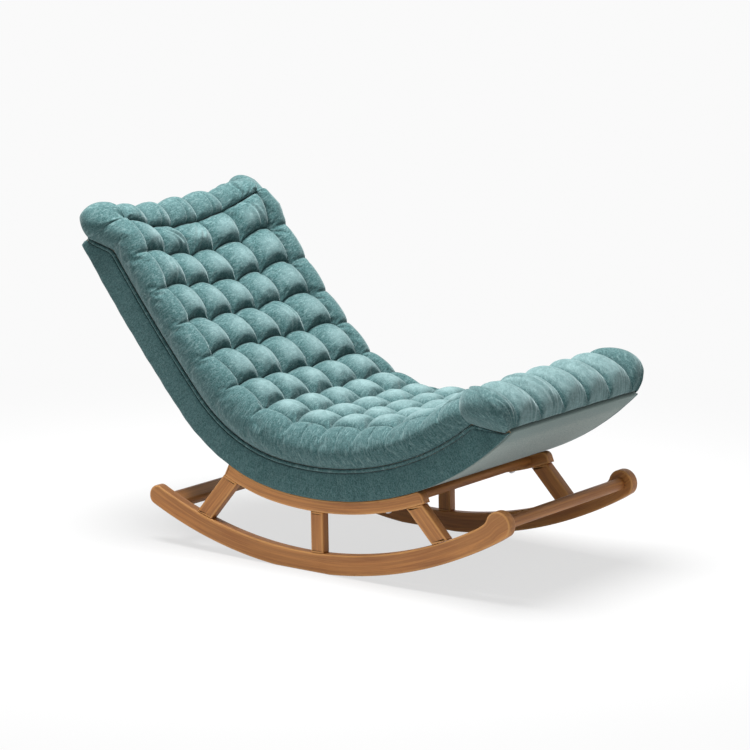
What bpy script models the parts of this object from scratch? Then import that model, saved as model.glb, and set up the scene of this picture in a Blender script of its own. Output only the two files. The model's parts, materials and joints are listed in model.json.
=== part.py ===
"""Tufted velvet rocking lounge chair on a wooden rocker base.

Metres, +Z up. The chair faces +X, the floor is Z = 0 and the chair's middle plane is Y = 0.
Places on the upholstered seat are given along the seat line, which is the underside of the seat
seen from the side: a station s along it from the head end, a height n square to it, and Y.
"""

import math

import bmesh
import bpy
import numpy as np

# Clearances between pieces that touch or fit
SEAT_GAP = 0.0003
FIT = 0.0004

# Seat line: where the head end starts, its heading, then arcs of (length, heading at the end)
SEAT_START_X = -0.623
SEAT_START_Z = 0.705
SEAT_START_HEADING = -54.2
SEAT_ARCS = ((0.478, -47.9), (0.333, -7.1), (0.407, 21.3), (0.322, 46.4))

# Upholstered seat, heights measured square to the seat line
SHELL_LENGTH = 1.522
COVER_THICKNESS = 0.002
BAND_DEPTH = 0.066
BAND_HEAD_DEPTH = 0.020
BAND_FRONT_DEPTH = 0.004
BAND_THICKNESS = 0.012
BAND_HEAD_KNEE_ROW = 0.5
FRAME_SIDE_THICKNESS = 0.027
FRAME_SIDE_DEPTH = 0.060
END_BOARD_THICKNESS = 0.008
SLAT_STATIONS = (0.050, 0.330, 0.610, 0.890, 1.170, 1.468)
SLAT_WIDTH = 0.060
SLAT_THICKNESS = 0.020
SLAT_HEIGHT = 0.030
STRAP_COUNT = 12
STRAP_WIDTH = 0.055
STRAP_THICKNESS = 0.002
STRAP_FIRST_STATION = 0.110
STRAP_LAST_STATION = 1.408
FOAM_THICKNESS = 0.014
WELT_RADIUS = 0.0045

# Tufting
TUFT_COLUMNS = 5
TUFT_ROWS = 12
TUFT_COLUMN_PITCH = 0.0965
FRAME_OVERHANG = 0.02075
TUFT_ROW_PITCH = 0.1015
TUFT_LEVEL = 0.140
FIRST_ROW_STATION = 0.005
FRONT_STRETCH = 0.024
FRONT_STRETCH_ROWS = (9.0, 12.0)
DIMPLE_HEIGHT_BACK = 0.124
DIMPLE_HEIGHT_SEAT = 0.147
DIMPLE_BLEND_ROWS = (2.5, 5.5)
FRONT_DIP = 0.026
FRONT_DIP_ROWS = (8.5, 12.0)
HEAD_CUP_DEPTH = 0.041
HEAD_CUP_ROWS = (-0.5, 6.0)
HEAD_DROOP = 0.032
HEAD_DROOP_ROWS = (-1.0, 4.0)
TUFT_CROWN = 0.041
TUFT_FULLNESS = 0.7
SEAM_HEIGHT = 0.009
TUFT_SAG = 0.16
TUFT_SAG_ROWS = (3.5, 7.0)

# Rolls round the tufts: how far their curve rises and leans out, at its inner and its outer end
BORDER_RISE = (0.060, 0.086)
BORDER_LEAN = (-0.005, 0.075)
SEAT_BORDER_DROP = 0.28
SEAT_BORDER_ROWS = (5.5, 8.5)
HEAD_RISE = (0.056, 0.078)
HEAD_LEAN = (0.000, 0.096)
FRONT_RISE = (0.050, 0.050)
FRONT_LEAN = (0.015, 0.115)
CORNER_RISE = (-0.35, 0.20)
CORNER_LEAN = (0.75, 0.50)
BORDER_LOBE_SHARES = (0.84, 0.985)
END_LOBE_SHARES = (0.66, 0.88)
LOBE_BLEND = (0.25, 0.75)
FRONT_SEAM_HEIGHT = 0.006
ROLL_SEAM_REACH = 0.005
FRONT_FAN = 0.024
FRONT_FAN_ROWS = (8.0, 12.0)
BORDER_OVERHANG = 0.008
ROLL_STEPS = 4
SIDE_WRAP_STEPS = 2.5
TUFT_STEPS = 2

# Rocker base
WOOD_THICKNESS = 0.025
BASE_OVERHANG = 0.008
RUNNER_RADIUS = 1.083
RUNNER_DEPTH = 0.046
RUNNER_CENTRE_X = 0.041
RUNNER_FLAT_LENGTH = 0.160
RUNNER_FACET_ANGLE = 2.0
RUNNER_TAIL_X = -0.411
TAIL_ROUNDING = 0.021
HORN_X = 0.595
HORN_Z = 0.187
HORN_RADIUS = 0.033
HORN_NECK_X = 0.511
HORN_NOSE_ANGLES = (-40.0, 165.0)
RAIL_DEPTH = 0.031
RAIL_REAR_STATION = 0.660
RAIL_FRONT_STATION = 1.234
RAIL_NOSE_RADIUS = 0.014
POST_OVERRUN = 0.080
TENON_THICKNESS = 0.012
TENON_WIDTH = 0.022
TENON_DEPTH = 0.016
BAR_RADIUS = 0.0145
BAR_TENON_RADIUS = 0.009
REAR_STRETCHER = (-0.363, 0.106, -22.0, 0.042, 0.020)
CROSS_RAIL_WIDTH = 0.028
CROSS_RAIL_THICKNESS = 0.022
FRONT_CROSS_RAIL_STATION = 1.175
REAR_CROSS_RAIL_STATION = 0.725
BOARD_TENON_INSET = 0.005
WOOD_EDGE_RADIUS = 0.0025

# Posts: X of the foot on the runner, station of the head under the rail, width
REAR_POST = (-0.255, 0.679, 0.041)
MIDDLE_POST = (0.086, 0.928, 0.035)
FRONT_POST = (0.436, 1.204, 0.042)

# Fasteners that hold the seat down on the rails
BOLT_STATIONS = (0.770, 1.120)
BOLT_RADIUS = 0.003
BOLT_HEAD_RADIUS = 0.007
BOLT_HEAD_HEIGHT = 0.004
BOLT_REACH = 0.034
INSERT_RADIUS = 0.005
INSERT_LENGTH = 0.014

# Fineness of round forms
SEAT_STEP = 0.030
ROUND_STEPS = 24
FASTENER_STEPS = 12
ARC_STEPS = 10
SEAT_LINE_SAMPLES = 800
WELD_DISTANCE = 0.00001
TURNED_WELD_DISTANCE = 0.0001
FLAT_ANGLE = 0.05
BEVEL_ANGLE = 40.0

# Finishes: colour, roughness, metallic
FINISHES = {
    "velvet": ((0.145, 0.330, 0.335), 0.85, 0.0),
    "oiled_wood": ((0.430, 0.205, 0.080), 0.45, 0.0),
    "plywood": ((0.620, 0.480, 0.310), 0.65, 0.0),
    "foam": ((0.860, 0.800, 0.620), 0.95, 0.0),
    "webbing": ((0.070, 0.065, 0.060), 0.90, 0.0),
    "steel": ((0.560, 0.560, 0.580), 0.35, 1.0),
}

# Sizes that follow from the ones above
HALF_COLUMNS = TUFT_COLUMNS / 2
OUTER_COLUMN = HALF_COLUMNS + 1
FRAME_SIDE_OUTER_Y = HALF_COLUMNS * TUFT_COLUMN_PITCH + FRAME_OVERHANG
FRAME_SIDE_INNER_Y = FRAME_SIDE_OUTER_Y - FRAME_SIDE_THICKNESS
BORDER_EDGE_Y = FRAME_SIDE_OUTER_Y + BORDER_OVERHANG
FRAME_BOTTOM = COVER_THICKNESS + SEAT_GAP
FRAME_TOP = FRAME_BOTTOM + FRAME_SIDE_DEPTH
STRAP_BOTTOM = FRAME_TOP + SEAT_GAP
FOAM_BOTTOM = STRAP_BOTTOM + STRAP_THICKNESS + SEAT_GAP
FOAM_TOP = FOAM_BOTTOM + FOAM_THICKNESS
CUSHION_FLOOR = FOAM_TOP + SEAT_GAP
BAND_OUTER_Y = FRAME_SIDE_OUTER_Y + SEAT_GAP + BAND_THICKNESS
WELT_SEAT = SEAT_GAP + WELT_RADIUS
WELT_ROOM = 2 * WELT_SEAT
RUNNER_TOP_RADIUS = RUNNER_RADIUS - RUNNER_DEPTH
BASE_OUTER_Y = FRAME_SIDE_OUTER_Y + BASE_OVERHANG
BASE_INNER_Y = BASE_OUTER_Y - WOOD_THICKNESS
BASE_MIDDLE_Y = BASE_OUTER_Y - WOOD_THICKNESS / 2
BOLT_Y = (BASE_INNER_Y + FRAME_SIDE_OUTER_Y) / 2


def clear_scene():
    """Remove every object that is already in the file."""
    for item in list(bpy.data.objects):
        bpy.data.objects.remove(item, do_unlink=True)


def new_collection(name):
    """Make a collection under the scene's own."""
    collection = bpy.data.collections.new(name)
    bpy.context.scene.collection.children.link(collection)
    return collection


def new_material(name):
    """Principled material with the colour, roughness and metallic value of a finish."""
    colour, roughness, metallic = FINISHES[name]
    material = bpy.data.materials.new(name)
    material.use_nodes = True
    shader = material.node_tree.nodes["Principled BSDF"]
    shader.inputs["Base Color"].default_value = (*colour, 1.0)
    shader.inputs["Roughness"].default_value = roughness
    shader.inputs["Metallic"].default_value = metallic
    return material


clear_scene()
CHAIR = new_collection("rocking_chair")
CUTTERS = new_collection("cutters")
MATERIALS = {name: new_material(name) for name in FINISHES}


def seat_line(stations):
    """Return x, z and heading of the seat line at the given stations.

    The first arc runs on backwards ahead of the head end, and the last runs on past the front.
    """
    stations = np.asarray(stations, dtype=float)
    x, z, heading = SEAT_START_X, SEAT_START_Z, math.radians(SEAT_START_HEADING)
    start = 0.0
    xs = np.zeros_like(stations)
    zs = np.zeros_like(stations)
    headings = np.zeros_like(stations)
    for index, (length, end_heading) in enumerate(SEAT_ARCS):
        turn = (math.radians(end_heading) - heading) / length
        here = (stations >= start) | (index == 0)
        angle = heading + turn * (stations - start)
        xs = np.where(here, x + (np.sin(angle) - math.sin(heading)) / turn, xs)
        zs = np.where(here, z - (np.cos(angle) - math.cos(heading)) / turn, zs)
        headings = np.where(here, angle, headings)
        end = heading + turn * length
        x += (math.sin(end) - math.sin(heading)) / turn
        z -= (math.cos(end) - math.cos(heading)) / turn
        heading = end
        start += length
    return xs, zs, headings


def side_points(stations, heights):
    """Points (x, z) in the side view at stations along the seat line and heights square to it."""
    x, z, heading = seat_line(stations)
    heights = np.asarray(heights, dtype=float)
    return np.stack([x - heights * np.sin(heading), z + heights * np.cos(heading)], axis=-1)


def seat_places(stations, across, heights):
    """Points (x, y, z) at stations along the seat line, Y across the seat and heights square to it."""
    flat = side_points(stations, heights)
    across = np.broadcast_to(np.asarray(across, dtype=float), flat.shape[:-1])
    return np.stack([flat[..., 0], across, flat[..., 1]], axis=-1)


def stations_between(first, last):
    """Even stations along the seat line, about one seat step apart."""
    return np.linspace(first, last, max(2, round((last - first) / SEAT_STEP) + 1))


def heading_vector(degrees):
    """Unit vector in the XZ plane at an angle from +X."""
    return np.array([math.cos(math.radians(degrees)), math.sin(math.radians(degrees))])


def arc(centre, radius, first, last, steps):
    """Points (x, z) on an arc, with angles in degrees from +X towards +Z."""
    angles = np.radians(np.linspace(first, last, steps + 1))
    return np.stack([centre[0] + radius * np.cos(angles), centre[1] + radius * np.sin(angles)], axis=-1)


def bend(start, start_pull, end_pull, end, steps):
    """Points inside a cubic curve between two ends, without the ends."""
    t = np.linspace(0.0, 1.0, steps + 1)[1:-1, None]
    start, start_pull, end_pull, end = map(np.asarray, (start, start_pull, end_pull, end))
    rise = 3 * (1 - t) ** 2 * t * start_pull + 3 * (1 - t) * t ** 2 * end_pull
    return (1 - t) ** 3 * start + rise + t ** 3 * end


def add_object(name, mesh, material, collection):
    """Put a mesh into the scene as a named object with one material."""
    mesh.name = name
    mesh.materials.clear()
    if material:
        mesh.materials.append(MATERIALS[material])
    item = bpy.data.objects.new(name, mesh)
    collection.objects.link(item)
    if collection is CUTTERS:
        item.hide_render = True
        item.display_type = "WIRE"
    return item


def mesh_of_curve(name, carrier, material, collection):
    """Turn a curve object into a welded closed mesh object at the same place."""
    bpy.context.view_layer.update()
    evaluated = carrier.evaluated_get(bpy.context.evaluated_depsgraph_get())
    mesh = bpy.data.meshes.new_from_object(evaluated)
    work = bmesh.new()
    work.from_mesh(mesh)
    bmesh.ops.remove_doubles(work, verts=work.verts, dist=WELD_DISTANCE)
    bmesh.ops.recalc_face_normals(work, faces=work.faces)
    work.to_mesh(mesh)
    work.free()
    item = add_object(name, mesh, material, collection)
    item.matrix_world = carrier.matrix_world.copy()
    bpy.data.objects.remove(carrier, do_unlink=True)
    return item


def plate(name, outline, y_middle, thickness, material=None):
    """Flat outline of (x, z) points, made into a board of the given thickness about y_middle."""
    curve = bpy.data.curves.new(f"{name}_outline", "CURVE")
    curve.dimensions = "2D"
    curve.fill_mode = "BOTH"
    curve.extrude = thickness / 2
    spline = curve.splines.new("POLY")
    spline.points.add(len(outline) - 1)
    for point, (x, z) in zip(spline.points, outline):
        point.co = (x, z, 0.0, 1.0)
    spline.use_cyclic_u = True
    carrier = bpy.data.objects.new(f"{name}_outline", curve)
    carrier.location = (0.0, y_middle, 0.0)
    carrier.rotation_euler = (math.pi / 2, 0.0, 0.0)
    collection = CHAIR if material else CUTTERS
    collection.objects.link(carrier)
    return mesh_of_curve(name, carrier, material, collection)


def turned(name, profile, place, rotation, steps, material=None):
    """Turn a profile of (radius, height) points, listed from top to bottom, about the local Z axis."""
    mesh = bpy.data.meshes.new(name)
    edges = [(index, index + 1) for index in range(len(profile) - 1)]
    mesh.from_pydata([(radius, 0.0, height) for radius, height in profile], edges, [])
    item = add_object(name, mesh, material, CHAIR if material else CUTTERS)
    screw = item.modifiers.new("turn", "SCREW")
    screw.axis = "Z"
    screw.steps = steps
    screw.render_steps = steps
    screw.use_merge_vertices = True
    screw.merge_threshold = TURNED_WELD_DISTANCE
    screw.use_smooth_shade = True
    item.location = place
    item.rotation_euler = rotation
    return item


def boolean(item, tool, operation):
    """Cut, join or trim an object with another one."""
    modifier = item.modifiers.new(f"{operation.lower()} {tool.name}", "BOOLEAN")
    modifier.operation = operation
    modifier.solver = "EXACT"
    modifier.object = tool


def round_edges(item, width=WOOD_EDGE_RADIUS):
    """Ease the sharp edges of a wooden piece."""
    work = bmesh.new()
    work.from_mesh(item.data)
    flat = math.radians(FLAT_ANGLE)
    bmesh.ops.dissolve_limit(work, angle_limit=flat, verts=work.verts, edges=work.edges)
    work.to_mesh(item.data)
    work.free()
    bevel = item.modifiers.new("eased edges", "BEVEL")
    bevel.width = width
    bevel.segments = 1
    bevel.limit_method = "ANGLE"
    bevel.angle_limit = math.radians(BEVEL_ANGLE)


def seat_slab(name, first, last, bottom, top, y_middle, thickness, material):
    """Board that follows the seat line between two stations and two heights."""
    stations = stations_between(first, last)
    lower = side_points(stations, np.full_like(stations, bottom))
    upper = side_points(stations, np.full_like(stations, top))
    return plate(name, np.concatenate([lower, upper[::-1]]), y_middle, thickness, material)


def bar_outline(foot, head, width, overrun):
    """Four corners of a straight bar from foot to head, longer by overrun at both ends."""
    foot, head = np.asarray(foot), np.asarray(head)
    along = (head - foot) / np.linalg.norm(head - foot)
    side = np.array([along[1], -along[0]]) * width / 2
    foot, head = foot - along * overrun, head + along * overrun
    return np.array([foot - side, foot + side, head + side, head - side])


def board_outline(x, z, tilt, width, thickness):
    """Four corners of a board's section, tilted nose up by tilt degrees."""
    along = heading_vector(tilt) * width / 2
    up = np.array([-along[1], along[0]]) * thickness / width
    middle = np.array([x, z])
    return np.array([middle - along - up, middle + along - up, middle + along + up, middle - along + up])


def runner_angle(x, radius):
    """Angle in degrees of the point of a runner circle that lies below the circle's centre at x."""
    return math.degrees(math.asin((x - RUNNER_CENTRE_X) / radius)) - 90.0


def runner_outline():
    """Side view of a runner: a flat under the balance point, arcs, a rounded tail and a front horn."""
    centre = (RUNNER_CENTRE_X, RUNNER_RADIUS)
    flat_half = math.degrees(math.asin(RUNNER_FLAT_LENGTH / 2 / RUNNER_RADIUS))
    floor_radius = RUNNER_RADIUS / math.cos(math.radians(flat_half))
    tail_angle = runner_angle(RUNNER_TAIL_X, RUNNER_RADIUS)
    horn_angle = runner_angle(HORN_X, RUNNER_RADIUS)
    neck_angle = runner_angle(HORN_NECK_X, RUNNER_TOP_RADIUS)
    rear_steps = round((-90.0 - flat_half - tail_angle) / RUNNER_FACET_ANGLE)
    front_steps = round((horn_angle + 90.0 - flat_half) / RUNNER_FACET_ANGLE)
    rear = arc(centre, floor_radius, tail_angle, -90.0 - flat_half, rear_steps)
    front = arc(centre, floor_radius, -90.0 + flat_half, horn_angle, front_steps)
    horn = (HORN_X, HORN_Z)
    nose_start, nose_end = HORN_NOSE_ANGLES
    nose = arc(horn, HORN_RADIUS, nose_start, nose_end, 2 * ARC_STEPS)
    top_steps = round((neck_angle - tail_angle) / RUNNER_FACET_ANGLE)
    top = arc(centre, RUNNER_TOP_RADIUS, neck_angle, tail_angle, top_steps)
    neck_slope = heading_vector(neck_angle + 90.0)
    nose_fall = heading_vector(nose_end + 90.0)
    pull = (HORN_X - HORN_RADIUS - HORN_NECK_X) / 2
    neck = bend(nose[-1], nose[-1] + nose_fall * pull / 2, top[0] + neck_slope * pull, top[0], ARC_STEPS)
    tail_middle = (top[-1] + rear[0]) / 2
    tail = arc(tail_middle, RUNNER_DEPTH / 2, tail_angle + 180.0, tail_angle + 360.0, ARC_STEPS)[1:-1]
    squash = TAIL_ROUNDING / (RUNNER_DEPTH / 2)
    outward = np.array([math.sin(math.radians(tail_angle)), -math.cos(math.radians(tail_angle))])
    reach = (tail - tail_middle) @ outward
    tail = tail + np.outer(reach * (squash - 1.0), outward)
    return np.concatenate([rear, front, nose, neck, top, tail])


def rail_outline():
    """Side view of a top rail: it follows the seat line, with a rounded nose at the front."""
    stations = stations_between(RAIL_REAR_STATION, RAIL_FRONT_STATION)
    upper = side_points(stations, np.full_like(stations, -SEAT_GAP))
    lower = side_points(stations, np.full_like(stations, -SEAT_GAP - RAIL_DEPTH))
    nose_station = RAIL_FRONT_STATION - RAIL_NOSE_RADIUS
    keep = stations < nose_station - SEAT_STEP / 2
    angles = np.radians(np.linspace(90.0, 0.0, ARC_STEPS // 2 + 1))
    nose = side_points(
        nose_station + RAIL_NOSE_RADIUS * np.cos(angles),
        RAIL_NOSE_RADIUS * (np.sin(angles) - 1.0) - SEAT_GAP,
    )
    return np.concatenate([upper[keep], nose, lower[-1:], lower[keep][::-1]])


def post_room_outline():
    """Side view of the space between runner and rail that the posts fill."""
    centre = (RUNNER_CENTRE_X, RUNNER_RADIUS)
    first, last = REAR_POST[0] - POST_OVERRUN, FRONT_POST[0] + POST_OVERRUN
    top_radius = RUNNER_TOP_RADIUS - SEAT_GAP
    steps = round((last - first) / SEAT_STEP)
    lower = arc(centre, top_radius, runner_angle(first, top_radius), runner_angle(last, top_radius), steps)
    stations = stations_between(RAIL_REAR_STATION - SEAT_STEP, RAIL_FRONT_STATION + SEAT_STEP)
    upper = side_points(stations, np.full_like(stations, -RAIL_DEPTH - 2 * SEAT_GAP))
    return np.concatenate([lower, upper[::-1]])


def post_ends(foot_x, station):
    """Where a post stands on the runner and where it meets the underside of the rail."""
    foot_angle = runner_angle(foot_x, RUNNER_TOP_RADIUS)
    foot = np.array([RUNNER_CENTRE_X, RUNNER_RADIUS]) + RUNNER_TOP_RADIUS * heading_vector(foot_angle)
    return foot, side_points(station, -RAIL_DEPTH)


def make_base_side(side, sign):
    """Runner, top rail and three tenoned posts of one side."""
    y = sign * BASE_MIDDLE_Y
    runner = plate(f"runner_{side}", runner_outline(), y, WOOD_THICKNESS, "oiled_wood")
    rail = plate(f"top_rail_{side}", rail_outline(), y, WOOD_THICKNESS, "oiled_wood")
    round_edges(runner)
    round_edges(rail)
    room = plate(f"post_room_{side}", post_room_outline(), y, 2 * WOOD_THICKNESS)
    posts = (("rear_post", REAR_POST), ("middle_post", MIDDLE_POST), ("front_post", FRONT_POST))
    for label, (foot_x, station, width) in posts:
        post_name = f"{label}_{side}"
        foot, head = post_ends(foot_x, station)
        post_outline = bar_outline(foot, head, width, POST_OVERRUN)
        post = plate(post_name, post_outline, y, WOOD_THICKNESS, "oiled_wood")
        tenon_outline = bar_outline(foot, head, TENON_WIDTH, TENON_DEPTH)
        tenon = plate(f"{post_name}_tenon", tenon_outline, y, TENON_THICKNESS)
        mortise_outline = bar_outline(foot, head, TENON_WIDTH + 2 * FIT, TENON_DEPTH + FIT)
        mortise = plate(f"{post_name}_mortise", mortise_outline, y, TENON_THICKNESS + 2 * FIT)
        round_edges(post)
        boolean(post, room, "INTERSECT")
        boolean(post, tenon, "UNION")
        boolean(runner, mortise, "DIFFERENCE")
        boolean(rail, mortise, "DIFFERENCE")
    return runner, rail


def make_cross_board(name, section, sides):
    """Board across the base, with a tenon at each end in the inner face of both sides."""
    x, z, tilt, width, thickness = section
    span = 2 * (BASE_INNER_Y - SEAT_GAP)
    board = plate(name, board_outline(*section), 0.0, span, "oiled_wood")
    round_edges(board)
    tenon_size = (width - 2 * BOARD_TENON_INSET, thickness - 2 * BOARD_TENON_INSET)
    tenon_span = 2 * (BASE_INNER_Y + TENON_DEPTH)
    tenon = plate(f"{name}_tenon", board_outline(x, z, tilt, *tenon_size), 0.0, tenon_span)
    mortise_size = (tenon_size[0] + 2 * FIT, tenon_size[1] + 2 * FIT)
    mortise = plate(f"{name}_mortise", board_outline(x, z, tilt, *mortise_size), 0.0, tenon_span + 2 * FIT)
    boolean(board, tenon, "UNION")
    for piece in sides:
        boolean(piece, mortise, "DIFFERENCE")


def cross_rail_section(station):
    """Section of a cross rail that lies under the seat between the top rails."""
    height = -SEAT_GAP - CROSS_RAIL_THICKNESS / 2
    (x, z), heading = side_points(station, height), seat_line(station)[2]
    return x, z, math.degrees(float(heading)), CROSS_RAIL_WIDTH, CROSS_RAIL_THICKNESS


def make_front_bar(runners):
    """Round bar between the horns, turned with a thinner tenon at each end."""
    shoulder = BASE_INNER_Y - SEAT_GAP
    end = BASE_INNER_Y + TENON_DEPTH
    profile = [(0.0, end), (BAR_TENON_RADIUS, end), (BAR_TENON_RADIUS, shoulder), (BAR_RADIUS, shoulder)]
    profile += [(radius, -height) for radius, height in reversed(profile)]
    along_y = (math.pi / 2, 0.0, 0.0)
    turned("front_bar", profile, (HORN_X, 0.0, HORN_Z), along_y, ROUND_STEPS, "oiled_wood")
    bore = [(0.0, end + FIT), (BAR_TENON_RADIUS + FIT, end + FIT)]
    bore += [(radius, -height) for radius, height in reversed(bore)]
    cutter = turned("front_bar_bore", bore, (HORN_X, 0.0, HORN_Z), along_y, ROUND_STEPS)
    for runner in runners:
        boolean(runner, cutter, "DIFFERENCE")


def make_seat_fasteners(side, sign, rail, frame_side, cover):
    """Bolts through a top rail into threaded inserts in the seat frame."""
    for number, station in enumerate(BOLT_STATIONS, start=1):
        place = seat_places(station, sign * BOLT_Y, 0.0)
        rotation = (0.0, -float(seat_line(station)[2]), 0.0)
        seat = -RAIL_DEPTH - 2 * SEAT_GAP
        bolt = [
            (0.0, BOLT_REACH),
            (BOLT_RADIUS, BOLT_REACH),
            (BOLT_RADIUS, seat),
            (BOLT_HEAD_RADIUS, seat),
            (BOLT_HEAD_RADIUS, seat - BOLT_HEAD_HEIGHT / 2),
            (BOLT_HEAD_RADIUS / 2, seat - BOLT_HEAD_HEIGHT),
            (0.0, seat - BOLT_HEAD_HEIGHT),
        ]
        turned(f"seat_bolt_{side}_{number}", bolt, place, rotation, FASTENER_STEPS, "steel")
        insert_top = FRAME_BOTTOM + INSERT_LENGTH
        bore_radius = BOLT_RADIUS + FIT
        insert = [
            (bore_radius, insert_top),
            (INSERT_RADIUS, insert_top),
            (INSERT_RADIUS, FRAME_BOTTOM),
            (bore_radius, FRAME_BOTTOM),
            (bore_radius, insert_top),
        ]
        turned(f"threaded_insert_{side}_{number}", insert, place, rotation, FASTENER_STEPS, "steel")
        bore_bottom = seat - RAIL_DEPTH
        bolt_top = BOLT_REACH + FIT
        bolt_bore = [
            (0.0, bolt_top),
            (bore_radius, bolt_top),
            (bore_radius, bore_bottom),
            (0.0, bore_bottom),
        ]
        insert_radius = INSERT_RADIUS + FIT
        insert_cap = insert_top + FIT
        insert_bore = [(0.0, insert_cap), (insert_radius, insert_cap), (insert_radius, 0.0), (0.0, 0.0)]
        bolt_cutter = turned(f"bolt_bore_{side}_{number}", bolt_bore, place, rotation, FASTENER_STEPS)
        insert_cutter = turned(f"insert_bore_{side}_{number}", insert_bore, place, rotation, FASTENER_STEPS)
        for piece in (rail, frame_side, cover):
            boolean(piece, bolt_cutter, "DIFFERENCE")
        boolean(frame_side, insert_cutter, "DIFFERENCE")


def make_seat_frame():
    """Curved frame sides, slats, end boards, webbing and the foam pad, all inside the upholstery."""
    middle_y = (FRAME_SIDE_INNER_Y + FRAME_SIDE_OUTER_Y) / 2
    frame_sides = {}
    for side, sign in (("right", -1), ("left", 1)):
        frame_sides[side] = seat_slab(
            f"seat_frame_{side}", 0.0, SHELL_LENGTH, FRAME_BOTTOM, FRAME_TOP,
            sign * middle_y, FRAME_SIDE_THICKNESS, "plywood",
        )
    clear_span = 2 * (FRAME_SIDE_INNER_Y - SEAT_GAP)
    for number, station in enumerate(SLAT_STATIONS, start=1):
        x, z = side_points(station, SLAT_HEIGHT + SLAT_THICKNESS / 2)
        tilt = math.degrees(float(seat_line(station)[2]))
        outline = board_outline(x, z, tilt, SLAT_WIDTH, SLAT_THICKNESS)
        plate(f"frame_slat_{number}", outline, 0.0, clear_span, "plywood")
    full_span = 2 * FRAME_SIDE_OUTER_Y
    ends = (
        ("head_end_board", -SEAT_GAP - END_BOARD_THICKNESS, -SEAT_GAP),
        ("front_end_board", SHELL_LENGTH + SEAT_GAP, SHELL_LENGTH + SEAT_GAP + END_BOARD_THICKNESS),
    )
    for name, first, last in ends:
        seat_slab(name, first, last, 0.0, FRAME_TOP, 0.0, full_span, "plywood")
    strap_stations = np.linspace(STRAP_FIRST_STATION, STRAP_LAST_STATION, STRAP_COUNT)
    for number, station in enumerate(strap_stations, start=1):
        first, last = station - STRAP_WIDTH / 2, station + STRAP_WIDTH / 2
        top = STRAP_BOTTOM + STRAP_THICKNESS
        seat_slab(f"webbing_strap_{number}", first, last, STRAP_BOTTOM, top, 0.0, full_span, "webbing")
    seat_slab("foam_pad", 0.0, SHELL_LENGTH, FOAM_BOTTOM, FOAM_TOP, 0.0, full_span, "foam")
    cover = seat_slab("underside_cover", 0.0, SHELL_LENGTH, 0.0, COVER_THICKNESS, 0.0, full_span, "velvet")
    return frame_sides, cover


def row_stations(rows):
    """Stations of tuft rows, one row pitch apart at the level of the tufts and wider over the front."""
    table = np.linspace(0.0, SHELL_LENGTH, SEAT_LINE_SAMPLES)
    level = table - TUFT_LEVEL * (seat_line(table)[2] - seat_line(0.0)[2])
    first = np.interp(FIRST_ROW_STATION, table, level)
    stretch_from, stretch_to = FRONT_STRETCH_ROWS
    share = np.clip((np.asarray(rows) - stretch_from) / (stretch_to - stretch_from), 0.0, 1.0)
    steps = np.asarray(rows) * TUFT_ROW_PITCH + FRONT_STRETCH * share ** 2
    return np.interp(first + steps, level, table)


def band_knees():
    """Stations where the side band starts to fall away towards the head and the front."""
    return float(row_stations(BAND_HEAD_KNEE_ROW)), float(row_stations(TUFT_ROWS)) - FRONT_FAN


def band_top(stations):
    """Height of the side band's upper edge, which falls away at the head and front corners."""
    stations = np.asarray(stations, dtype=float)
    head_knee, front_knee = band_knees()
    known = [0.0, head_knee, front_knee, SHELL_LENGTH]
    return np.interp(stations, known, [BAND_HEAD_DEPTH, BAND_DEPTH, BAND_DEPTH, BAND_FRONT_DEPTH])


def welt_room(stations):
    """Height that the welt takes up above the band: more on the slope at the head, none at the front."""
    head_knee, front_knee = band_knees()
    lean = math.hypot(1.0, (BAND_DEPTH - BAND_HEAD_DEPTH) / head_knee)
    known = [0.0, head_knee, front_knee, SHELL_LENGTH]
    room = [WELT_ROOM * lean, WELT_ROOM * lean, WELT_ROOM, SEAT_GAP]
    return np.interp(np.asarray(stations, dtype=float), known, room)


def make_side_band(side, sign):
    """Padded fabric band that covers one side of the seat frame."""
    stations = np.concatenate([[0.0], stations_between(*band_knees()), [SHELL_LENGTH]])
    lower = side_points(stations, np.zeros_like(stations))
    upper = side_points(stations, band_top(stations))
    outline = np.concatenate([lower, upper[::-1]])
    y_middle = sign * (FRAME_SIDE_OUTER_Y + SEAT_GAP + BAND_THICKNESS / 2)
    plate(f"side_band_{side}", outline, y_middle, BAND_THICKNESS, "velvet")


def make_welt_cord():
    """Piping on the upper edge of the bands: along one side, round the head end and back."""
    half_y = BAND_OUTER_Y - WELT_RADIUS
    run = np.concatenate([stations_between(*band_knees())[::-1], [0.0]])
    run_places = seat_places(run, -half_y, band_top(run) + welt_room(run) / 2)
    board_back = -SEAT_GAP - END_BOARD_THICKNESS
    turn = np.radians(np.linspace(0.0, 90.0, ARC_STEPS // 2 + 1))
    corner = board_back - WELT_SEAT * np.sin(turn)
    corner_y = FRAME_SIDE_OUTER_Y + (half_y - FRAME_SIDE_OUTER_Y) * np.cos(turn)
    head_height = BAND_HEAD_DEPTH + float(welt_room(0.0)) / 2
    half = np.concatenate([run_places, seat_places(corner, -corner_y, np.full_like(corner, head_height))])
    points = np.concatenate([half, half[::-1] * np.array([1.0, -1.0, 1.0])])
    curve = bpy.data.curves.new("welt_route", "CURVE")
    curve.dimensions = "3D"
    curve.bevel_depth = WELT_RADIUS
    curve.bevel_resolution = 1
    curve.use_fill_caps = True
    spline = curve.splines.new("POLY")
    spline.points.add(len(points) - 1)
    for point, place in zip(spline.points, points):
        point.co = (*place, 1.0)
    carrier = bpy.data.objects.new("welt_route", curve)
    CHAIR.objects.link(carrier)
    mesh_of_curve("welt_cord", carrier, "velvet", CHAIR)


def smooth(values, first, last):
    """Ease from 0 at first to 1 at last."""
    t = np.clip((values - first) / (last - first), 0.0, 1.0)
    return t * t * (3.0 - 2.0 * t)


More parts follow.
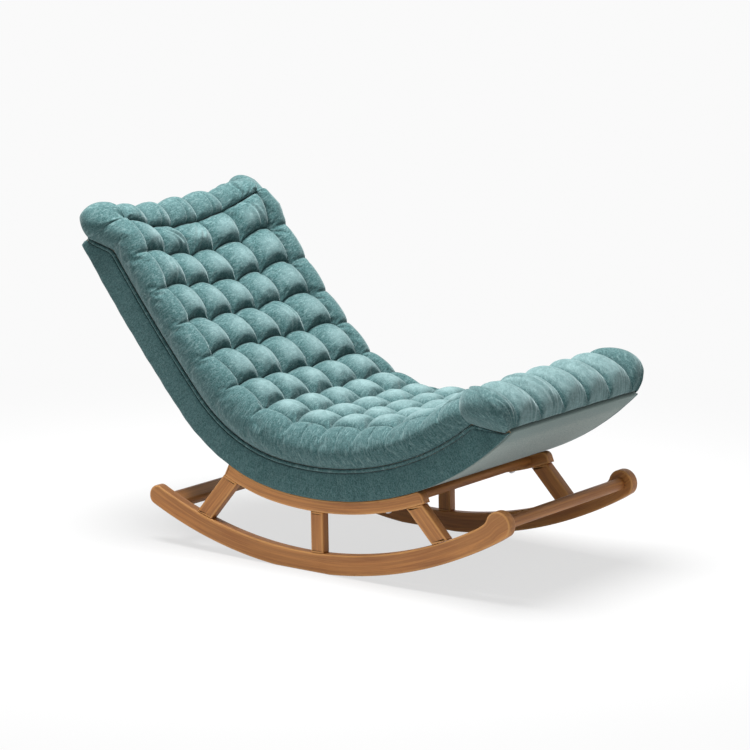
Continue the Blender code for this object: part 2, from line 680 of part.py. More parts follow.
def cushion_grid():
    """Row and column values of the cushion's grid: finer on the rolls, coarser on the tufts."""
    head = np.linspace(-1.0, 0.0, ROLL_STEPS, endpoint=False)
    rows = np.linspace(0.0, TUFT_ROWS, TUFT_ROWS * TUFT_STEPS, endpoint=False)
    front = np.linspace(TUFT_ROWS, TUFT_ROWS + 1.0, ROLL_STEPS + 1)
    near = np.linspace(-OUTER_COLUMN, -HALF_COLUMNS, ROLL_STEPS, endpoint=False)
    columns = np.linspace(-HALF_COLUMNS, HALF_COLUMNS, TUFT_COLUMNS * TUFT_STEPS, endpoint=False)
    far = np.linspace(HALF_COLUMNS, OUTER_COLUMN, ROLL_STEPS + 1)
    along, across = np.concatenate([head, rows, front]), np.concatenate([near, columns, far])
    return np.meshgrid(along, across, indexing="ij")


def cushion_edge_height(stations):
    """Height of the cushion's side edge, which lies on the welt above the side band."""
    return band_top(stations) + welt_room(stations)


def head_seam_height():
    """Height of the seam behind the head, just above the welt there."""
    return float(cushion_edge_height(0.0))


def rim_shares(rows, columns):
    """How far each point lies out on the head roll, the front roll and a border roll, from 0 to 1."""
    head = np.clip(-rows, 0.0, 1.0)
    front = np.clip(rows - TUFT_ROWS, 0.0, 1.0)
    border = np.clip(np.abs(columns) - HALF_COLUMNS, 0.0, 1.0)
    return head, front, border


def cushion_skin(rows, columns):
    """Station, Y and height of the stitched skin, before the tufts swell.

    Dimples lie on a grid that droops and is cupped towards the head. The outer columns run down to the
    welt at the sides, and the end rows run down to the seams at the head and the front.
    """
    head, front, border = rim_shares(rows, columns)
    hollow = 1.0 - np.clip(np.abs(columns) / HALF_COLUMNS, 0.0, 1.0) ** 2
    stations = row_stations(np.clip(rows, 0.0, TUFT_ROWS))
    stations = stations + hollow * HEAD_DROOP * (1.0 - smooth(rows, *HEAD_DROOP_ROWS))
    stations = stations - FRONT_FAN * border * smooth(rows, *FRONT_FAN_ROWS)
    head_seam = -END_BOARD_THICKNESS - ROLL_SEAM_REACH
    front_seam = SHELL_LENGTH + END_BOARD_THICKNESS + ROLL_SEAM_REACH
    stations = stations + (head_seam - stations) * head
    stations = stations + (front_seam - stations) * front
    seat_share = smooth(rows, *DIMPLE_BLEND_ROWS)
    dimple = DIMPLE_HEIGHT_BACK + (DIMPLE_HEIGHT_SEAT - DIMPLE_HEIGHT_BACK) * seat_share
    dimple = dimple - FRONT_DIP * smooth(rows, *FRONT_DIP_ROWS)
    dimple = dimple - hollow * HEAD_CUP_DEPTH * (1.0 - smooth(rows, *HEAD_CUP_ROWS))
    heights = dimple + (head_seam_height() - dimple) * head
    heights = heights + (FRONT_SEAM_HEIGHT - heights) * front
    heights = heights + (cushion_edge_height(stations) - heights) * border
    inner_y = HALF_COLUMNS * TUFT_COLUMN_PITCH
    across = np.clip(np.abs(columns), 0.0, HALF_COLUMNS) * TUFT_COLUMN_PITCH
    across = np.sign(columns) * (across + (BORDER_EDGE_Y - inner_y) * border)
    return stations, across, heights


def pillow(t):
    """Swell across one tuft: none at its seams, full in its middle."""
    return (1.0 - t ** 2) ** TUFT_FULLNESS


def tuft_shares(rows, columns):
    """Swell along the rows, which sags down the back, and swell across the columns."""
    along = 2.0 * (rows - np.floor(rows)) - 1.0
    sag = TUFT_SAG * (1.0 - smooth(rows, *TUFT_SAG_ROWS)) * (rows > 0.0)
    sideways = 2.0 * (columns + HALF_COLUMNS - np.floor(columns + HALF_COLUMNS)) - 1.0
    return pillow(along - sag * (1.0 - along ** 2)), pillow(sideways)


def cushion_swell(rows, columns):
    """How far each point of the tufts swells out between the stitches."""
    along, sideways = tuft_shares(rows, columns)
    seams = SEAM_HEIGHT * (along * (1.0 - sideways) + sideways * (1.0 - along))
    return TUFT_CROWN * along * sideways + seams


def cushion_rim(rows, columns):
    """Station, Y and height of the rolls, on cubic curves from the outermost stitches to the rim.

    Each curve first rises from the stitches and then comes down on the rim from outside. They fan out on
    the corners, and run fuller over the middle of each tuft than over its seams.
    """
    head, front, border = rim_shares(rows, columns)
    ends = np.maximum(head, front)
    out = np.maximum(ends, border)
    reach = np.where(out > 0.0, out, 1.0)
    row = np.clip(rows, 0.0, TUFT_ROWS)
    column = np.clip(columns, -HALF_COLUMNS, HALF_COLUMNS)
    foot = np.stack(cushion_skin(row, column), axis=-1)
    edge = np.stack(cushion_skin(row + (rows - row) / reach, column + (columns - column) / reach), axis=-1)
    along, sideways = tuft_shares(row, column)
    lobe = np.where(ends == 0.0, along, np.where(border == 0.0, sideways, 1.0))
    foot[..., 2] += SEAM_HEIGHT * lobe * (lobe < 1.0)
    on_end = ends > border
    inner = np.where(on_end, END_LOBE_SHARES[0], BORDER_LOBE_SHARES[0])
    outer = np.where(on_end, END_LOBE_SHARES[1], BORDER_LOBE_SHARES[1])
    share = inner + (outer - inner) * smooth(out, *LOBE_BLEND)
    fullness = share + (1.0 - share) * lobe
    total = np.where(out > 0.0, head + front + border, 1.0)
    corners = 4.0 * border / total ** 2
    lift = 1.0 + corners * (head * CORNER_RISE[0] + front * CORNER_RISE[1])
    flare = 1.0 + corners * (head * CORNER_LEAN[0] + front * CORNER_LEAN[1])
    outward = np.stack([front - head, np.sign(columns) * border, np.zeros_like(out)], axis=-1)
    outward /= np.where(out > 0.0, np.linalg.norm(outward, axis=-1), 1.0)[..., None]
    border_part = border * (1.0 - SEAT_BORDER_DROP * smooth(row, *SEAT_BORDER_ROWS))
    pulls = []
    for end in range(2):
        rise = (head * HEAD_RISE[end] + front * FRONT_RISE[end] + border_part * BORDER_RISE[end]) / total
        lean = (head * HEAD_LEAN[end] + front * FRONT_LEAN[end] + border * BORDER_LEAN[end]) / total
        pull = (fullness * flare * lean)[..., None] * outward
        pull[..., 2] += fullness * lift * rise
        pulls.append(pull)
    t = out[..., None]
    curve = (1.0 - t) ** 3 * foot + 3.0 * (1.0 - t) ** 2 * t * (foot + pulls[0])
    curve += 3.0 * (1.0 - t) * t ** 2 * (edge + pulls[1]) + t ** 3 * edge
    return curve[..., 0], curve[..., 1], curve[..., 2]


def cushion_floor(rows, columns):
    """Station, Y and height of the underside, which lies on the foam and wraps its ends and sides."""
    stations, across, heights = cushion_skin(rows, columns)
    inside_ends = np.minimum(rows + 1.0, TUFT_ROWS + 1.0 - rows)
    inside_sides = OUTER_COLUMN - np.abs(columns)
    inner_step = 1.0 / ROLL_STEPS
    edge = np.clip(np.minimum(inside_ends, inside_sides) / inner_step, 0.0, 1.0)
    heights = heights + (CUSHION_FLOOR - heights) * edge
    wall = np.clip(inside_ends / inner_step, 0.0, ROLL_STEPS - 1.0) / (ROLL_STEPS - 1.0)
    end_heights = np.where(rows < 0.0, head_seam_height(), FRONT_SEAM_HEIGHT)
    on_wall = inside_ends < 1.0
    wall_heights = end_heights + (CUSHION_FLOOR - end_heights) * wall
    heights = np.where(on_wall, np.where(inside_sides < inner_step / 2, heights, wall_heights), heights)
    seam_station = np.where(rows < 0.0, stations.min(), stations.max())
    stations = np.where(on_wall, seam_station, stations)
    overhang = BORDER_EDGE_Y - FRAME_SIDE_OUTER_Y
    side_y = FRAME_SIDE_OUTER_Y + overhang * (1.0 - np.clip(inside_sides / inner_step, 0.0, 1.0))
    beside_foam = inside_sides < SIDE_WRAP_STEPS * inner_step
    return stations, np.where(beside_foam, np.sign(columns) * side_y, across), heights


def make_cushion():
    """Tufted velvet cushion: a grid of swollen tufts above, closed by a plain underside."""
    rows, columns = cushion_grid()
    skin = seat_places(*cushion_skin(rows, columns))
    outward = np.cross(np.gradient(skin, axis=0), np.gradient(skin, axis=1))
    outward /= np.linalg.norm(outward, axis=-1, keepdims=True)
    tufts = skin + outward * cushion_swell(rows, columns)[..., None]
    on_rim = (rows < 0.0) | (rows > TUFT_ROWS) | (np.abs(columns) > HALF_COLUMNS)
    top = np.where(on_rim[..., None], seat_places(*cushion_rim(rows, columns)), tufts)
    floor = seat_places(*cushion_floor(rows, columns))
    rim = np.zeros(rows.shape, dtype=bool)
    rim[[0, -1], :] = True
    rim[:, [0, -1]] = True
    floor[rim] = top[rim]
    work = bmesh.new()
    for places, flip in ((top, False), (floor, True)):
        sheet = bmesh.new()
        bmesh.ops.create_grid(sheet, x_segments=rows.shape[1] - 1, y_segments=rows.shape[0] - 1, size=0.5)
        for vertex, place in zip(sheet.verts, places.reshape(-1, 3)):
            vertex.co = place
        if flip:
            bmesh.ops.reverse_faces(sheet, faces=sheet.faces)
        mesh = bpy.data.meshes.new("cushion_sheet")
        sheet.to_mesh(mesh)
        sheet.free()
        work.from_mesh(mesh)
        bpy.data.meshes.remove(mesh)
    bmesh.ops.remove_doubles(work, verts=work.verts, dist=WELD_DISTANCE)
    bmesh.ops.recalc_face_normals(work, faces=work.faces)
    mesh = bpy.data.meshes.new("tufted_cushion")
    work.to_mesh(mesh)
    work.free()
    mesh.shade_smooth()
    add_object("tufted_cushion", mesh, "velvet", CHAIR)


def main():
    """Build the base, the seat frame, the upholstery and the fasteners."""
    frame_sides, cover = make_seat_frame()
    runners, rails = [], []
    for side, sign in (("right", -1), ("left", 1)):
        runner, rail = make_base_side(side, sign)
        make_seat_fasteners(side, sign, rail, frame_sides[side], cover)
        make_side_band(side, sign)
        runners.append(runner)
        rails.append(rail)
    make_front_bar(runners)
    make_cross_board("rear_stretcher", REAR_STRETCHER, runners)
    make_cross_board("front_cross_rail", cross_rail_section(FRONT_CROSS_RAIL_STATION), rails)
    make_cross_board("rear_cross_rail", cross_rail_section(REAR_CROSS_RAIL_STATION), rails)
    make_welt_cord()
    make_cushion()


main()
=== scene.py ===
"""Looks of a tufted velvet rocking chair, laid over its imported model.

Metres, +Z up. The chair faces +X, the floor is Z = 0 and its middle plane is Y = 0. Places on the seat are
given along the seat line, which is the underside of the seat in the side view: a station along it from the
head end, a height square to it, and Y.
"""

import json
import logging
import math
from dataclasses import dataclass
from enum import Enum
from typing import Any

import bmesh
import bpy
import numpy as np
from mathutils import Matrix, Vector


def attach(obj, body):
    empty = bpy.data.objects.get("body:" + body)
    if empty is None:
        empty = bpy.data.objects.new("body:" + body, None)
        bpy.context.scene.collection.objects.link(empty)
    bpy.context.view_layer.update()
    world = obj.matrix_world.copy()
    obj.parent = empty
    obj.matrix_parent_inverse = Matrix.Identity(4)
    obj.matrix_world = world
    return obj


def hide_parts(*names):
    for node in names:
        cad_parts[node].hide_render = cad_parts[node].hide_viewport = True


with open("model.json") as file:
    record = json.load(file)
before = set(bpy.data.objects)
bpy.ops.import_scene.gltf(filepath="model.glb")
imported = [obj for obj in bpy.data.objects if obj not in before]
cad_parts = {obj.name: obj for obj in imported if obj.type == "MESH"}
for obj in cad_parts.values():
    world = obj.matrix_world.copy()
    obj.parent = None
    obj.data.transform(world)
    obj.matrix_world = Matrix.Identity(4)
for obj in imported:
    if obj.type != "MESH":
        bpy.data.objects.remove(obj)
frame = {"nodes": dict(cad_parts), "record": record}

Array = np.ndarray
Colour = tuple[float, float, float]
Pair = tuple[float, float]
Triple = tuple[float, float, float]
Socket = bpy.types.NodeSocket
Material = bpy.types.Material
Piece = bpy.types.Object
LOG = logging.getLogger("rocking_chair")
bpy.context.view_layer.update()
BODY = "root"
MERGE_DISTANCE = 0.00002
TINY = 1e-6
FULL_TURN = 2.0 * np.pi


class Side(Enum):
    """The two sides of the chair, each with the sign of its Y."""

    RIGHT = -1
    LEFT = 1

    @property
    def label(self) -> str:
        """Return the side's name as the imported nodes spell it."""
        return self.name.lower()


class NapLay(Enum):
    """Which way the velvet's pile is brushed, as stretches of its streaks along station, Y and height."""

    TUFTED = (260.0, 110.0, 60.0)
    DOWN_THE_BAND = (330.0, 120.0, 70.0)
    ROUND_THE_PIPING = (160.0, 160.0, 160.0)


def ease(values: Array, first: float, last: float) -> Array:
    """Ease from 0 at first to 1 at last with a level start and end.

    Args:
        values: Where to read the curve.
        first: Value at which it leaves 0.
        last: Value at which it reaches 1.

    Returns:
        3t^2 - 2t^3, with t the share of the way from first to last.
    """
    t = np.clip((values - first) / (last - first), 0.0, 1.0)
    return t * t * (3.0 - 2.0 * t)


def run_lengths(line: Array) -> Array:
    """Return the length of a polyline up to each of its points."""
    return np.concatenate([[0.0], np.cumsum(np.linalg.norm(np.diff(line, axis=0), axis=1))])


def whole_turn(steps: int) -> Array:
    """Return the angles of a closed ring's points in radians."""
    return np.linspace(0.0, FULL_TURN, steps, endpoint=False)


def cubic(t: Array, first: Array, second: Array, third: Array, fourth: Array) -> Array:
    """Lay points on cubic curves.

    Args:
        t: Shares of the way along the curves.
        first: Where the curves start.
        second: Points that pull on their starts.
        third: Points that pull on their ends.
        fourth: Where the curves end.

    Returns:
        The points.
    """
    start = (1 - t) ** 3 * first + 3 * (1 - t) ** 2 * t * second
    return start + 3 * (1 - t) * t ** 2 * third + t ** 3 * fourth


def resample(line: Array, count: int, tips: bool) -> Array:
    """Spread points evenly along a polyline.

    Args:
        line: Points of the polyline, one per row.
        count: How many points to give back.
        tips: Whether the first and last points sit on the line's ends, or half a step inside them.

    Returns:
        The new points, at equal steps of length along the line.
    """
    length = run_lengths(line)
    share = np.linspace(0.0, 1.0, count) if tips else (np.arange(count) + 0.5) / count
    return np.stack([np.interp(share * length[-1], length, axis) for axis in line.T], axis=-1)


def arc(centre: Pair, radius: float, first: float, last: float, steps: int) -> Array:
    """Lay points on a circle in the side view.

    Args:
        centre: Middle of the circle as x and z.
        radius: Its radius.
        first: Angle of the first point in degrees, from +X towards +Z.
        last: Angle of the last point.
        steps: How many steps to take between them.

    Returns:
        Points (x, z).
    """
    angles = np.radians(np.linspace(first, last, steps + 1))
    return np.stack([centre[0] + radius * np.cos(angles), centre[1] + radius * np.sin(angles)], axis=-1)


def grid_faces(rows: int, columns: int, round_columns: bool = False) -> Array:
    """Number the corners of a grid's quads, row by row.

    Args:
        rows: Points along the first direction.
        columns: Points along the second direction.
        round_columns: Whether the last column joins the first again.

    Returns:
        Four point numbers per quad.
    """
    row = np.arange(rows - 1)[:, None]
    column = np.arange(columns if round_columns else columns - 1)[None, :]
    beside = (column + 1) % columns
    here, ahead = row * columns, (row + 1) * columns
    corners = np.broadcast_arrays(here + column, ahead + column, ahead + beside, here + beside)
    return np.stack(corners, axis=-1).reshape(-1, 4)


def make_piece(
    name: str, points: Array, faces: Array, marks: dict[str, Array], wide_faces: tuple[Array, ...] = ()
) -> Piece:
    """Make a closed smooth object of quads, with its doubles merged and its faces turned outwards.

    Args:
        name: Name of the object.
        points: Points (x, y, z), in any grid shape.
        faces: Four point numbers per quad.
        marks: Named values per point, either one number or three, for the finish to read.
        wide_faces: Point numbers of faces with more corners, if any.

    Returns:
        The object, linked into the scene.
    """
    flat = np.ascontiguousarray(points.reshape(-1, 3), dtype=np.float32)
    mesh = bpy.data.meshes.new(name)
    mesh.vertices.add(len(flat))
    mesh.vertices.foreach_set("co", flat.ravel())
    mesh.loops.add(faces.size)
    mesh.loops.foreach_set("vertex_index", faces.astype(np.int32).ravel())
    mesh.polygons.add(len(faces))
    mesh.polygons.foreach_set("loop_start", np.arange(0, faces.size, 4, dtype=np.int32))
    mesh.update(calc_edges=True)
    for label, values in marks.items():
        vector = values.size == 3 * len(flat)
        layer = mesh.attributes.new(label, "FLOAT_VECTOR" if vector else "FLOAT", "POINT")
        layer.data.foreach_set("vector" if vector else "value", values.astype(np.float32).ravel())
    work = bmesh.new()
    work.from_mesh(mesh)
    work.verts.ensure_lookup_table()
    for corners in wide_faces:
        work.faces.new([work.verts[number] for number in corners])
    bmesh.ops.remove_doubles(work, verts=work.verts, dist=MERGE_DISTANCE)
    bmesh.ops.recalc_face_normals(work, faces=work.faces)
    work.to_mesh(mesh)
    work.free()
    mesh.shade_smooth()
    piece = bpy.data.objects.new(name, mesh)
    bpy.context.scene.collection.objects.link(piece)
    return piece


def dress(piece: Piece, material: Material, slot: str, *nodes: str) -> None:
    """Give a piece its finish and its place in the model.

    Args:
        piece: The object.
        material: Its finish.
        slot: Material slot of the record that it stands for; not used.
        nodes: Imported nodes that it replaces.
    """
    piece.data.materials.clear()
    piece.data.materials.append(material)
    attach(piece, BODY)
    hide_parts(*nodes)
    LOG.info("%s: %d points, replaces %s", piece.name, len(piece.data.vertices), ", ".join(nodes))


class FinishNodes:
    """Node tree of one finish, with short ways to add nodes and join them."""

    def __init__(self, name: str) -> None:
        """Start a material with a Principled shader."""
        self.material = bpy.data.materials.new(name)
        self.material.use_nodes = True
        self.tree = self.material.node_tree
        self.shader = self.tree.nodes["Principled BSDF"]

    def fill(self, node: bpy.types.Node, inputs: dict[Any, Any]) -> None:
        """Set or join a node's inputs.

        Args:
            node: The node.
            inputs: Socket name or number to a value, or to another node's output.
        """
        for key, value in inputs.items():
            if isinstance(value, Socket):
                self.tree.links.new(value, node.inputs[key])
            else:
                node.inputs[key].default_value = value

    def add(self, kind: str, inputs: dict[Any, Any] | None = None, **settings: Any) -> Socket:
        """Add a node and return its first output.

        Args:
            kind: Blender's name for the node type, without its ShaderNode prefix.
            inputs: Values or sockets for its inputs.
            settings: Properties of the node itself.

        Returns:
            The node's first output that is switched on.
        """
        node = self.tree.nodes.new(f"ShaderNode{kind}")
        for key, value in settings.items():
            setattr(node, key, value)
        self.fill(node, inputs or {})
        return next(socket for socket in node.outputs if socket.enabled)

    def here(self) -> Socket:
        """Return the object's own coordinates."""
        node = self.tree.nodes.new("ShaderNodeTexCoord")
        return node.outputs["Object"]

    def mark(self, label: str, vector: bool = False) -> Socket:
        """Return a named value of the piece's own points."""
        node = self.tree.nodes.new("ShaderNodeAttribute")
        node.attribute_name = label
        return node.outputs["Vector" if vector else "Fac"]

    def stretch(self, place: Socket, scale: Triple) -> Socket:
        """Return coordinates that are scaled along each axis."""
        return self.add("Mapping", {"Vector": place, "Scale": scale})

    def noise(self, place: Socket, scale: float, detail: float, twist: float = 0.0) -> Socket:
        """Return a soft random value between 0 and 1, about scale spots to the metre."""
        inputs = {"Vector": place, "Scale": scale, "Detail": detail, "Distortion": twist}
        return self.add("TexNoise", inputs)

    def streaks(self, place: Socket, stretch: Triple, detail: float, twist: float = 0.0) -> Socket:
        """Return a soft random value that is stretched: so many spots to the metre along each axis."""
        return self.noise(self.stretch(place, stretch), 1.0, detail, twist)

    def remap(self, value: Socket, first: float, last: float, low: float, high: float) -> Socket:
        """Return low at first, high at last, and a smooth step between them."""
        inputs = {"Value": value, "From Min": first, "From Max": last, "To Min": low, "To Max": high}
        return self.add("MapRange", inputs, interpolation_type="SMOOTHSTEP")

    def join(self, operation: str, first: Any, second: Any) -> Socket:
        """Return two numbers joined by an operation, held between 0 and 1."""
        return self.add("Math", {0: first, 1: second}, operation=operation, use_clamp=True)

    def mix(self, share: Any, first: Any, second: Any) -> Socket:
        """Return a colour between two colours."""
        wide = [(*item, 1.0) if isinstance(item, tuple) else item for item in (first, second)]
        node = self.tree.nodes.new("ShaderNodeMix")
        node.data_type = "RGBA"
        numbers = {socket.identifier: number for number, socket in enumerate(node.inputs)}
        values = {"Factor_Float": share, "A_Color": wide[0], "B_Color": wide[1]}
        self.fill(node, {numbers[key]: value for key, value in values.items()})
        return next(socket for socket in node.outputs if socket.identifier == "Result_Color")

    def bump(self, height: Socket, strength: float, reach: float) -> Socket:
        """Return a normal that is roughened by a height."""
        return self.add("Bump", {"Height": height, "Strength": strength, "Distance": reach})


@dataclass(frozen=True)
class Finish:
    """A named material whose shader is filled by a recipe of its own."""

    name: str

    def recipe(self, nodes: FinishNodes) -> dict[str, Any]:
        """Return the shader's inputs, with the nodes that they need added to the tree."""
        raise NotImplementedError

    def material(self) -> Material:
        """Build the material.

        Returns:
            The material, with its shader filled.
        """
        nodes = FinishNodes(self.name)
        nodes.fill(nodes.shader, self.recipe(nodes))
        return nodes.material


@dataclass(frozen=True)
class Velvet(Finish):
    """Crushed velvet: dark where the pile stands, pale where it is rubbed over or seen from the side. The
    paleness on the swells is part wear and part painted highlight, and the seams are darkened with painted
    shade.

    Pieces that wear it carry two marks: crest, 0 in a seam and 1 on the fullest swell, and lay, the station,
    Y and height of each point. Crest sets both the painted shade and the painted highlight.
    """

    deep: Colour = (0.017, 0.058, 0.060)
    plain: Colour = (0.056, 0.132, 0.135)
    pale: Colour = (0.270, 0.395, 0.400)
    nap: NapLay = NapLay.TUFTED
    # Share of pale on the fullest swells: part wear, part painted highlight.
    rub: float = 0.60
    streak: float = 0.30
    sheen: float = 0.35
    sheen_roughness: float = 0.45
    sheen_tint: Colour = (0.80, 0.95, 0.96)
    gloss: float = 0.25
    crush_spots: float = 330.0
    patch_spots: float = 48.0
    pile_spots: float = 950.0
    pile_depth: float = 0.0012
    roughness: Pair = (0.92, 0.78)

    def recipe(self, nodes: FinishNodes) -> dict[str, Any]:
        """Lay crushed patches, brushed streaks, crests paled by wear and painted highlight, seams darkened
        with painted shade, and a fine pile.

        Args:
            nodes: Nodes of the material.

        Returns:
            Inputs of the shader.
        """
        here = nodes.here()
        crest = nodes.mark("crest")
        crushed = nodes.noise(here, self.crush_spots, 4.0, 0.6)
        patches = nodes.noise(here, self.patch_spots, 3.0, 0.6)
        brushed = nodes.streaks(nodes.mark("lay", True), self.nap.value, 4.0, 0.5)
        standing = nodes.remap(crushed, 0.32, 0.70, 0.0, 1.0)
        colour = nodes.mix(standing, self.deep, self.plain)
        streaks = nodes.remap(brushed, 0.46, 0.74, 0.0, self.streak)
        colour = nodes.mix(streaks, colour, self.pale)
        # Painted highlight mixed with wear: the fullest swells are paled towards the pale colour.
        wear_and_highlight = nodes.remap(crest, 0.45, 1.0, 0.0, self.rub)
        wear_and_highlight = nodes.join("MULTIPLY", wear_and_highlight, nodes.remap(patches, 0.34, 0.66, 0.55, 0.95))
        colour = nodes.mix(wear_and_highlight, colour, self.pale)
        # Painted shade: seams and low crests are darkened towards the deep colour.
        seam = nodes.remap(crest, 0.0, 0.22, 0.85, 0.0)
        colour = nodes.mix(seam, colour, self.deep)
        pile = nodes.noise(here, self.pile_spots, 2.0)
        shares = (nodes.join("MULTIPLY", crushed, 0.6), nodes.join("MULTIPLY", pile, 0.4))
        return {
            "Base Color": colour,
            "Roughness": nodes.remap(crushed, 0.3, 0.7, *self.roughness),
            "Normal": nodes.bump(nodes.join("ADD", *shares), 0.35, self.pile_depth),
            "Sheen Weight": self.sheen,
            "Sheen Roughness": self.sheen_roughness,
            "Sheen Tint": (*self.sheen_tint, 1.0),
            "Specular IOR Level": self.gloss,
        }


@dataclass(frozen=True)
class OiledWood(Finish):
    """Oiled hardwood with long grain, fine pores and edges that are rubbed paler.

    Pieces that wear it carry two marks: grain, the place along, across and through the board, and edge, which
    is 1 on an eased edge.
    """

    name: str = "oiled_wood"
    dark: Colour = (0.205, 0.066, 0.014)
    plain: Colour = (0.414, 0.160, 0.037)
    pale: Colour = (0.546, 0.267, 0.085)
    band_stretch: Triple = (2.2, 62.0, 62.0)
    fibre_stretch: Triple = (14.0, 620.0, 620.0)
    pore_stretch: Triple = (55.0, 1500.0, 1500.0)
    cloud_stretch: Triple = (4.0, 9.0, 9.0)
    pore_depth: float = 0.0006
    roughness: Pair = (0.42, 0.58)
    gloss: float = 0.40

    def recipe(self, nodes: FinishNodes) -> dict[str, Any]:
        """Lay growth bands that wander along the board, fibres, pores and worn edges.

        Args:
            nodes: Nodes of the material.

        Returns:
            Inputs of the shader.
        """
        grain = nodes.mark("grain", True)
        bands = nodes.streaks(grain, self.band_stretch, 4.0, 1.1)
        fibres = nodes.streaks(grain, self.fibre_stretch, 3.0)
        pores = nodes.streaks(grain, self.pore_stretch, 1.0)
        cloudy = nodes.streaks(grain, self.cloud_stretch, 2.0)
        colour = nodes.mix(nodes.remap(bands, 0.34, 0.66, 0.0, 1.0), self.dark, self.plain)
        colour = nodes.mix(nodes.remap(bands, 0.30, 0.48, 0.62, 1.0), self.plain, colour)
        colour = nodes.mix(nodes.remap(fibres, 0.40, 0.70, 0.0, 0.30), colour, self.pale)
        colour = nodes.mix(nodes.remap(cloudy, 0.35, 0.70, 0.0, 0.22), colour, self.pale)
        pore = nodes.remap(pores, 0.62, 0.74, 0.0, 0.55)
        colour = nodes.mix(pore, colour, self.dark)
        worn = nodes.join("MULTIPLY", nodes.mark("edge"), nodes.remap(cloudy, 0.30, 0.60, 0.30, 0.80))
        colour = nodes.mix(worn, colour, self.pale)
        return {
            "Base Color": colour,
            "Roughness": nodes.remap(fibres, 0.30, 0.70, *self.roughness),
            "Normal": nodes.bump(nodes.join("SUBTRACT", fibres, pore), 0.22, self.pore_depth),
            "Specular IOR Level": self.gloss,
        }


@dataclass(frozen=True)
class Plywood(Finish):
    """Bare plywood of the hidden seat frame."""

    name: str = "frame_plywood"
    plain: Colour = (0.60, 0.45, 0.28)
    dark: Colour = (0.42, 0.29, 0.16)
    figure_stretch: Triple = (6.0, 40.0, 60.0)
    fibre_stretch: Triple = (30.0, 400.0, 400.0)
    fibre_depth: float = 0.0004

    def recipe(self, nodes: FinishNodes) -> dict[str, Any]:
        """Lay a long figure with fine fibres.

        Args:
            nodes: Nodes of the material.

        Returns:
            Inputs of the shader.
        """
        figure = nodes.streaks(nodes.here(), self.figure_stretch, 4.0, 0.8)
        fibres = nodes.streaks(nodes.here(), self.fibre_stretch, 2.0)
        return {
            "Base Color": nodes.mix(nodes.remap(figure, 0.35, 0.65, 0.0, 1.0), self.dark, self.plain),
            "Roughness": nodes.remap(fibres, 0.3, 0.7, 0.6, 0.75),
            "Normal": nodes.bump(fibres, 0.2, self.fibre_depth),
        }


@dataclass(frozen=True)
class Foam(Finish):
    """Open-celled pad foam."""

    name: str = "pad_foam"
    plain: Colour = (0.84, 0.77, 0.58)
    dark: Colour = (0.66, 0.57, 0.37)
    cells: float = 520.0
    cell_depth: float = 0.001
    age_spots: float = 7.0

    def recipe(self, nodes: FinishNodes) -> dict[str, Any]:
        """Lay small open cells and slight yellowing.

        Args:
            nodes: Nodes of the material.

        Returns:
            Inputs of the shader.
        """
        cells = nodes.add("TexVoronoi", {"Vector": nodes.here(), "Scale": self.cells})
        ageing = nodes.noise(nodes.here(), self.age_spots, 3.0)
        return {
            "Base Color": nodes.mix(nodes.remap(ageing, 0.35, 0.65, 0.0, 0.6), self.plain, self.dark),
            "Roughness": nodes.remap(cells, 0.0, 0.6, 0.98, 0.85),
            "Normal": nodes.bump(cells, 0.5, self.cell_depth),
        }


@dataclass(frozen=True)
class Webbing(Finish):
    """Woven black upholstery webbing."""

    name: str = "seat_webbing"
    plain: Colour = (0.075, 0.070, 0.064)
    thread: Colour = (0.160, 0.145, 0.125)
    threads: float = 160.0
    thread_depth: float = 0.0006

    def recipe(self, nodes: FinishNodes) -> dict[str, Any]:
        """Lay threads that cross, half of them along Y and half along X.

        Args:
            nodes: Nodes of the material.

        Returns:
            Inputs of the shader.
        """
        halves = []
        for direction in ("Y", "X"):
            inputs = {"Vector": nodes.here(), "Scale": self.threads}
            wave = nodes.add("TexWave", inputs, bands_direction=direction)
            halves.append(nodes.join("MULTIPLY", nodes.remap(wave, 0.2, 0.8, 0.0, 1.0), 0.5))
        threads = nodes.join("ADD", *halves)
        return {
            "Base Color": nodes.mix(threads, self.plain, self.thread),
            "Roughness": nodes.remap(threads, 0.0, 1.0, 0.95, 0.8),
            "Normal": nodes.bump(threads, 0.4, self.thread_depth),
        }


@dataclass(frozen=True)
class ZincSteel(Finish):
    """Zinc-plated steel of bolts and inserts."""

    name: str = "fastener_steel"
    plain: Colour = (0.56, 0.56, 0.58)
    dull: Colour = (0.36, 0.35, 0.34)
    dull_spots: float = 260.0
    turning_stretch: Triple = (80.0, 80.0, 2400.0)
    turning_depth: float = 0.0003

    def recipe(self, nodes: FinishNodes) -> dict[str, Any]:
        """Lay bright plating with dull spots and turning marks.

        Args:
            nodes: Nodes of the material.

        Returns:
            Inputs of the shader.
        """
        spots = nodes.noise(nodes.here(), self.dull_spots, 4.0)
        turning = nodes.streaks(nodes.here(), self.turning_stretch, 2.0)
        return {
            "Base Color": nodes.mix(nodes.remap(spots, 0.45, 0.70, 0.0, 0.8), self.plain, self.dull),
            "Metallic": 1.0,
            "Roughness": nodes.remap(spots, 0.35, 0.70, 0.28, 0.50),
            "Normal": nodes.bump(turning, 0.12, self.turning_depth),
        }


